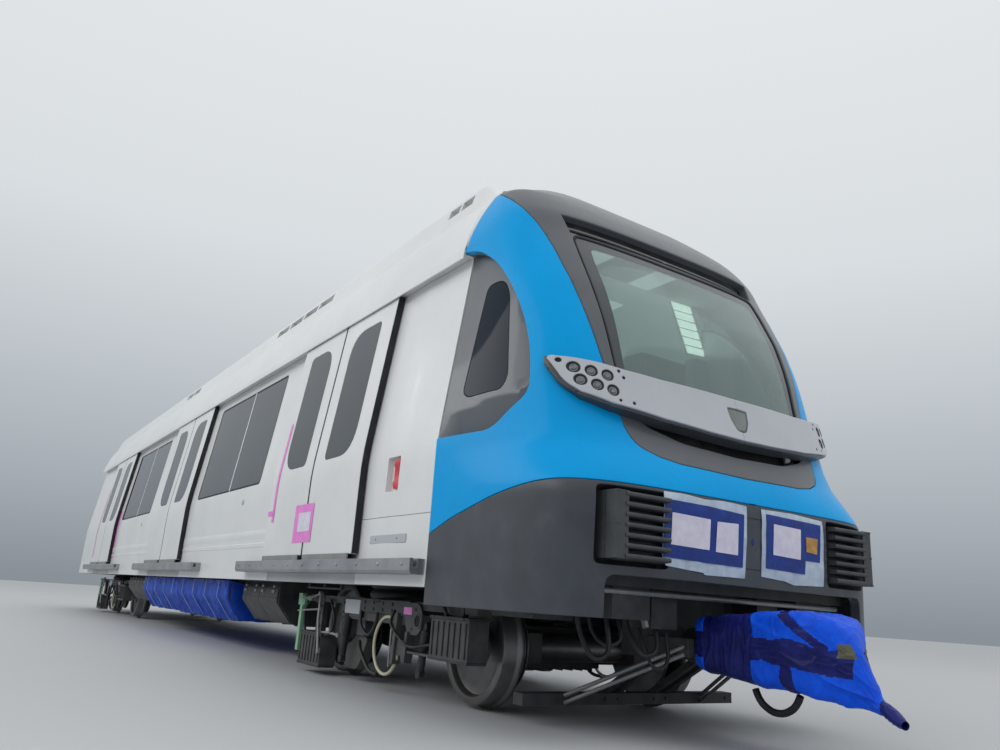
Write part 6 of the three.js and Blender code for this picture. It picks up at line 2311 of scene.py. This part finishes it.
def lid_parts(centre):
    """Lids between their joints on top of an air conditioner, and the bolts along its edges."""
    plates, bolts = [], []
    length, half = COOLER["half_length"], COOLER["half_width"]
    pitch = (2 * length - 0.04) / COOLER["lids"]
    fans = [centre + s * COOLER["fan_at"] for s in (-1, 1)]
    for k in range(COOLER["lids"]):
        x0 = centre - length + 0.02 + k * pitch
        x1 = x0 + pitch - 0.008
        for y0, y1 in ((-half + 0.02, -FAN_LANE), (FAN_LANE, half - 0.02)):
            plates.append(block(x0, x1, y0, y1, COOLER_TOP - 0.002, COOLER_TOP + 0.004))
            edge = y0 + 0.02 if y0 < 0 else y1 - 0.02
            bolts += [stud(x, edge, COOLER_TOP + 0.004, 0.008, UP)
                      for x in np.linspace(x0 + 0.04, x1 - 0.04, 4)]
        if min(abs((x0 + x1) / 2 - fan) for fan in fans) > 0.4:
            plates.append(block(x0, x1, -0.30, 0.30, COOLER_TOP - 0.002, COOLER_TOP + 0.004))
    return plates, bolts


def cooler_side_parts(centre):
    """Louvres, feet and lifting eyes on one side of an air conditioner."""
    plates, dark, eyes = [], [], []
    length, half = COOLER["half_length"], COOLER["half_width"]
    for x0, x1 in ((centre - 1.30, centre - 0.20), (centre + 0.20, centre + 1.30)):
        # Black plates behind the louvres: painted shade in the intakes.
        dark.append(block(x0, x1, half - 0.004, half + 0.003, DECK_Z + 0.050, COOLER_TOP - 0.035))
        for z in DECK_Z + 0.056 + 0.014 * np.arange(LOUVRES):
            plates.append(block(x0 - 0.006, x1 + 0.006, half, half + 0.012, z, z + 0.005))
        for x in (x0 - 0.012, (x0 + x1) / 2, x1 + 0.012):
            plates.append(block(x - 0.012, x + 0.012, half, half + 0.016, DECK_Z + 0.04, COOLER_TOP - 0.03))
    for x in (centre - length + 0.12, centre + length - 0.12):
        hoop = [(-0.035, 0.0), (-0.022, 0.014), (0.022, 0.014), (0.035, 0.0)]
        eyes.append(tube([(x + dx, half - 0.05, COOLER_TOP + dz) for dx, dz in hoop], 0.006, 10))
        plates.append(block(x - 0.05, x + 0.05, half - 0.01, half + 0.07, DECK_Z, DECK_Z + 0.012))
    return plates, dark, eyes


def make_roof_gear():
    """Fans, lids and louvres of the air conditioners, and what stands on the deck between them."""
    for end, centre in COOLER_CENTRES.items():
        fans = [centre + s * COOLER["fan_at"] for s in (-1, 1)]
        fitted(f"fan_guards_{end}", [part for x in fans for part in fan_parts(x)], PALE_STEEL)
        fitted(f"fan_blades_{end}", [part for x in fans for part in blade_parts(x)], CABLE_BLACK)
        lids, bolts = lid_parts(centre)
        plates, dark, eyes = cooler_side_parts(centre)
        fitted(f"cooler_panels_{end}", lids + two_sided(plates), ALLOY, 0.001)
        fitted(f"cooler_intakes_{end}", two_sided(dark), SHADOW_BLACK)
        fitted(f"cooler_bolts_{end}", bolts + two_sided(eyes), PALE_STEEL)
    fitted("deck_ribs", deck_rib_parts(), WHITE_LACQUER)
    back = COOLER_CENTRES["rear"] + COOLER["half_length"]
    fore = COOLER_CENTRES["front"] - COOLER["half_length"]
    ducts = [block(back + 0.02, fore - 0.02, 0.44, 0.56, DECK_Z + 0.004, DECK_Z + 0.060)]
    ducts += [block(x - 0.015, x + 0.015, 0.425, 0.575, DECK_Z, DECK_Z + 0.064)
              for x in np.arange(back + 0.2, fore, 0.6)]
    dome = [(0.0, 0.0), (0.10, 0.0), (0.10, 0.012), (0.075, 0.016), (0.070, 0.07), (0.050, 0.095),
            (0.0, 0.105)]
    domes = [revolved(dome, (x, 0.0, DECK_Z + 0.004), UP, 36) for x in VENTS_AT]
    bolts = [stud(x + dx, dy, DECK_Z + 0.017, 0.007, UP)
             for x in VENTS_AT for dx, dy in round_spots(0.088, 6)]
    fitted("deck_ducts", two_sided(ducts) + domes, SILVER_LACQUER, 0.003)
    fitted("deck_bolts", bolts, PALE_STEEL)


def deck_rib_parts():
    """Rolled ribs along the deck, broken where the air conditioners stand."""
    ribs = []
    rear, front = WALL_REAR + 0.05, -0.42
    back, fore = COOLER_CENTRES["rear"], COOLER_CENTRES["front"]
    length = COOLER["half_length"] + 0.03
    low, high = DECK_Z - 0.002, DECK_Z + 0.007
    for y in np.arange(-0.825, 0.83, 0.11):
        stretches = [(rear, front)]
        if abs(y) < COOLER["half_width"] + 0.02:
            stretches = [(rear, back - length), (back + length, fore - length), (fore + length, front)]
        section = [(y - 0.016, low), (y - 0.009, high), (y + 0.009, high), (y + 0.016, low)]
        ribs += [extruded(section, (x1, x0)) for x0, x1 in stretches]
    return ribs


# Rear end
GANGWAY_LOW, GANGWAY_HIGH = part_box("gangway_bellows")
GANGWAY_RIM = 0.210
GANGWAY_HOLE = [(-0.50, GANGWAY_LOW.z + GANGWAY_RIM, 0.04), (0.50, GANGWAY_LOW.z + GANGWAY_RIM, 0.04),
                (0.50, GANGWAY_HIGH.z - GANGWAY_RIM, 0.12), (-0.50, GANGWAY_HIGH.z - GANGWAY_RIM, 0.12)]
GANGWAY_REAR = GANGWAY_LOW.x - JOINT_X
FRAME_FORE, FRAME_REAR = 0.026, 0.032
PLEATS = 9
# One pleat: share of its pitch, distance out of the doorway
PLEAT = [(0.08, 0.150), (0.16, 0.192), (0.34, 0.207), (0.50, 0.2095), (0.66, 0.207), (0.84, 0.192),
         (0.92, 0.150)]
BAR_Z = 0.48
BACKWARDS = (-1, 0, 0)


def gangway_rings(rows):
    """Rings round the doorway: rows are (x, distance out of the doorway)."""
    hole = outline(GANGWAY_HOLE, 8)
    count = len(hole)
    points = np.vstack([np.column_stack([np.full(count, x), grown(hole, out)]) for x, out in rows])
    faces = []
    for i in range(len(rows) - 1):
        for k in range(count):
            a, b = i * count + k, i * count + (k + 1) % count
            faces.append((a, b, b + count, a + count))
    return points, faces


def make_gangway():
    """Folded gangway: sewn double pleats of coated cloth between two alloy frames."""
    fore, rear = BODY_REAR - 0.002, GANGWAY_REAR
    start, finish = fore - FRAME_FORE, rear + FRAME_REAR
    pitch = (start - finish) / PLEATS
    rows = [(start, 0.05)]
    rows += [(start - k * pitch - share * pitch, out) for k in range(PLEATS) for share, out in PLEAT]
    inner = [(x, 0.058 - 0.25 * (out - 0.15)) for x, out in rows[:0:-1]]
    rows += [(finish, 0.05)] + inner
    fitted("gangway_pleats", [gangway_rings(rows)], RUBBER, 0.0, 50, slot="bellows_rubber",
           replaces=["gangway_bellows"])
    frames = [gangway_rings([(x1, 0.002), (x1, 0.206), (x1 - 0.003, 0.2095), (x0 + 0.003, 0.2095),
                             (x0, 0.206), (x0, 0.002), (x1, 0.002)])
              for x0, x1 in ((start, fore), (rear, finish))]
    spots = [(y, z) for z in np.linspace(GANGWAY_LOW.z + 0.30, GANGWAY_HIGH.z - 0.30, 9)
             for y in (-0.66, -0.55, 0.55, 0.66)]
    spots += [(y, z) for y in np.linspace(-0.45, 0.45, 6)
              for z in (GANGWAY_LOW.z + 0.10, GANGWAY_HIGH.z - 0.10)]
    fitted("gangway_frames", frames, ALLOY)
    fitted("gangway_bolts", [stud(rear, y, z, 0.010, BACKWARDS) for y, z in spots], PALE_STEEL)


def make_rear_end():
    """Grab bars, sockets with lids, and ribbed pads on the rear wall, and the bar's collars."""
    wall, foot = BODY_REAR, BODY_BOTTOM
    grip = [(wall, 0.92, 1.30), (wall - 0.055, 0.92, 1.32), (wall - 0.060, 0.92, 1.40),
            (wall - 0.060, 0.90, 2.20), (wall - 0.055, 0.90, 2.28), (wall, 0.90, 2.30)]
    rose = [(0.0, 0.0), (0.034, 0.0), (0.032, 0.006), (0.0, 0.007)]
    socket = [(0.0, 0.0), (0.044, 0.0), (0.044, 0.02), (0.036, 0.03), (0.0, 0.032)]
    bright = [tube(grip, 0.014, 12)]
    bright += [revolved(rose, (wall, y, z), BACKWARDS, 24) for y, z in ((0.92, 1.30), (0.90, 2.30))]
    dark = []
    for y, z in ((0.98, 1.06), (1.14, 1.06), (1.06, 0.86)):
        dark.append(block(wall - 0.045, wall + 0.002, y - 0.055, y + 0.055, z - 0.065, z + 0.065))
        dark.append(revolved(socket, (wall - 0.045, y, z), BACKWARDS, 28))
        bright.append(block(wall - 0.052, wall - 0.030, y - 0.03, y + 0.03, z + 0.060, z + 0.074))
    bright += [stud(wall - 0.006, y, z, 0.008, BACKWARDS) for y in (0.80, 1.10) for z in (2.44, 2.61, 2.78)]
    pads = [block(wall - 0.07, wall + 0.002, 0.84, 1.22, foot + 0.002, foot + 0.070),
            *[block(wall - 0.082, wall - 0.06, 0.85, 1.21, z, z + 0.009)
              for z in foot + 0.006 + 0.022 * np.arange(3)],
            block(wall - 0.006, wall + 0.002, 0.78, 1.12, 2.42, 2.80)]
    collar = [(0.079, 0.0), (0.112, 0.004), (0.112, 0.05), (0.090, 0.056), (0.084, 0.10), (0.079, 0.11)]
    collars = [revolved(collar, (x, 0, BAR_Z), (1, 0, 0), 40) for x in (GANGWAY_REAR + 0.012, wall + 0.02)]
    collar_bolts = [stud(GANGWAY_REAR + 0.016, y, BAR_Z + up, 0.010, BACKWARDS)
                    for y, up in round_spots(0.096, 8, 0.5)]
    fitted("rear_grab_bars", two_sided(bright) + collar_bolts, PALE_STEEL)
    fitted("rear_sockets", two_sided(dark), CABLE_BLACK, 0.003)
    fitted("rear_pads", two_sided(pads) + collars, BOGIE_STEEL, 0.002)


# Finish of the CAD nodes that stay
def refinish(node, material, bevel):
    """A CAD node with a material of this file and softened edges."""
    made = NODES[node]
    made.data.materials.clear()
    made.data.materials.append(material)
    sharp(made, 28)
    sharp(made, 32, bevel)


def dress_nodes():
    """Materials of the nodes that scene.py keeps as they are."""
    for node in ("underframe", "guard_beam", "traction_case", "sheeted_case", "auxiliary_case",
                 "coupler_bar", "rear_drawbar"):
        refinish(node, DARK_STEEL, 0.006)
    for end in ENDS:
        refinish(f"bogie_frame_{end}", BOGIE_STEEL, 0.006)
        refinish(f"bogie_bolster_{end}", BOGIE_STEEL, 0.006)
        refinish(f"air_conditioner_{end}", ALLOY, 0.010)
    refinish("rear_end_wall", WHITE_LACQUER, 0.004)
    dress_floor()


# Camera, floor and light
EYE = Vector((10.862, -3.652, 0.634))
YAW, PITCH, ROLL = (math.radians(v) for v in (33.06, 16.0, -3.82))
FOCAL_PIXELS = 797.2
IMAGE_WIDTH = 1000


def make_camera():
    """The photo's own view, solved from its parallel edges."""
    ahead = Vector((-math.cos(YAW) * math.cos(PITCH), math.sin(YAW) * math.cos(PITCH), math.sin(PITCH)))
    level_right = ahead.cross(Vector((0, 0, 1))).normalized()
    level_down = ahead.cross(level_right)
    right = math.cos(ROLL) * level_right + math.sin(ROLL) * level_down
    down = math.cos(ROLL) * level_down - math.sin(ROLL) * level_right
    data = bpy.data.cameras.new("camera")
    data.sensor_width = 36.0
    data.lens = data.sensor_width * FOCAL_PIXELS / IMAGE_WIDTH
    data.clip_end = 200
    camera = bpy.data.objects.new("camera", data)
    bpy.context.scene.collection.objects.link(camera)
    turn = Matrix((right, -down, -ahead)).transposed()
    camera.matrix_world = Matrix.Translation(EYE) @ turn.to_4x4()
    bpy.context.scene.camera = camera


def make_floor():
    """A pale matt floor far wider than the car."""
    material = new_material("pale_studio_floor", Base_Color=tone("#b6b8ba"), Roughness=0.7)
    mesh = bpy.data.meshes.new("studio_floor")
    reach = 60.0
    mesh.from_pydata([(-reach, -reach, 0), (reach, -reach, 0), (reach, reach, 0), (-reach, reach, 0)],
                     [], [(0, 1, 2, 3)])
    mesh.materials.append(material)
    floor = bpy.data.objects.new("studio_floor", mesh)
    bpy.context.scene.collection.objects.link(floor)


def make_light():
    """An even bright sky, one long soft box along the side, and a fill light over the nose that
    leaves no image of itself in the glass."""
    world = bpy.data.worlds.new("soft_sky")
    world.use_nodes = True
    bpy.context.scene.world = world
    tree = world.node_tree
    background = tree.nodes["Background"]
    place = tree.nodes.new("ShaderNodeTexCoord")
    split = tree.nodes.new("ShaderNodeSeparateXYZ")
    band = tree.nodes.new("ShaderNodeValToRGB")
    tree.links.new(place.outputs["Generated"], split.inputs["Vector"])
    tree.links.new(split.outputs["Z"], band.inputs["Fac"])
    tree.links.new(band.outputs["Color"], background.inputs["Color"])
    set_stops(band.color_ramp, [(0.0, "#8d959c"), (0.10, "#a9b1b8"), (0.40, "#dfe4e8"), (1.0, "#f9fafa")])
    background.inputs["Strength"].default_value = 0.94
    soft_box("side_softbox", (-4.0, -16.0, 11.0), (-4.0, 0.0, 1.5), 34, 7, 1500)
    fill = soft_box("nose_softbox", (13.0, 5.0, 12.0), (6.5, 0.0, 2.0), 12, 6, 500)
    fill.visible_glossy = False


def soft_box(name, place, target, width, height, power):
    """A rectangular lamp at a place, turned to its target. Its power is in watts."""
    data = bpy.data.lights.new(name, "AREA")
    data.shape = "RECTANGLE"
    data.size, data.size_y = width, height
    data.energy = power
    lamp = bpy.data.objects.new(name, data)
    ahead = Vector(target) - Vector(place)
    lamp.matrix_world = Matrix.Translation(place) @ ahead.to_track_quat("-Z", "Y").to_matrix().to_4x4()
    bpy.context.scene.collection.objects.link(lamp)
    return lamp


bpy.context.scene.view_settings.view_transform = "Standard"
make_camera()
make_hose()
make_floor()
make_light()
make_nose()
make_band()
make_display()
make_anticlimbers()
make_walls()
make_leaves()
make_bays()
make_roof()
make_cab_lining()
make_saloon()
make_wrap()
make_bogies()
make_underframe()
make_roof_gear()
make_gangway()
make_rear_end()
make_side_details()
make_notices()
make_slot_fixture()
dress_nodes()
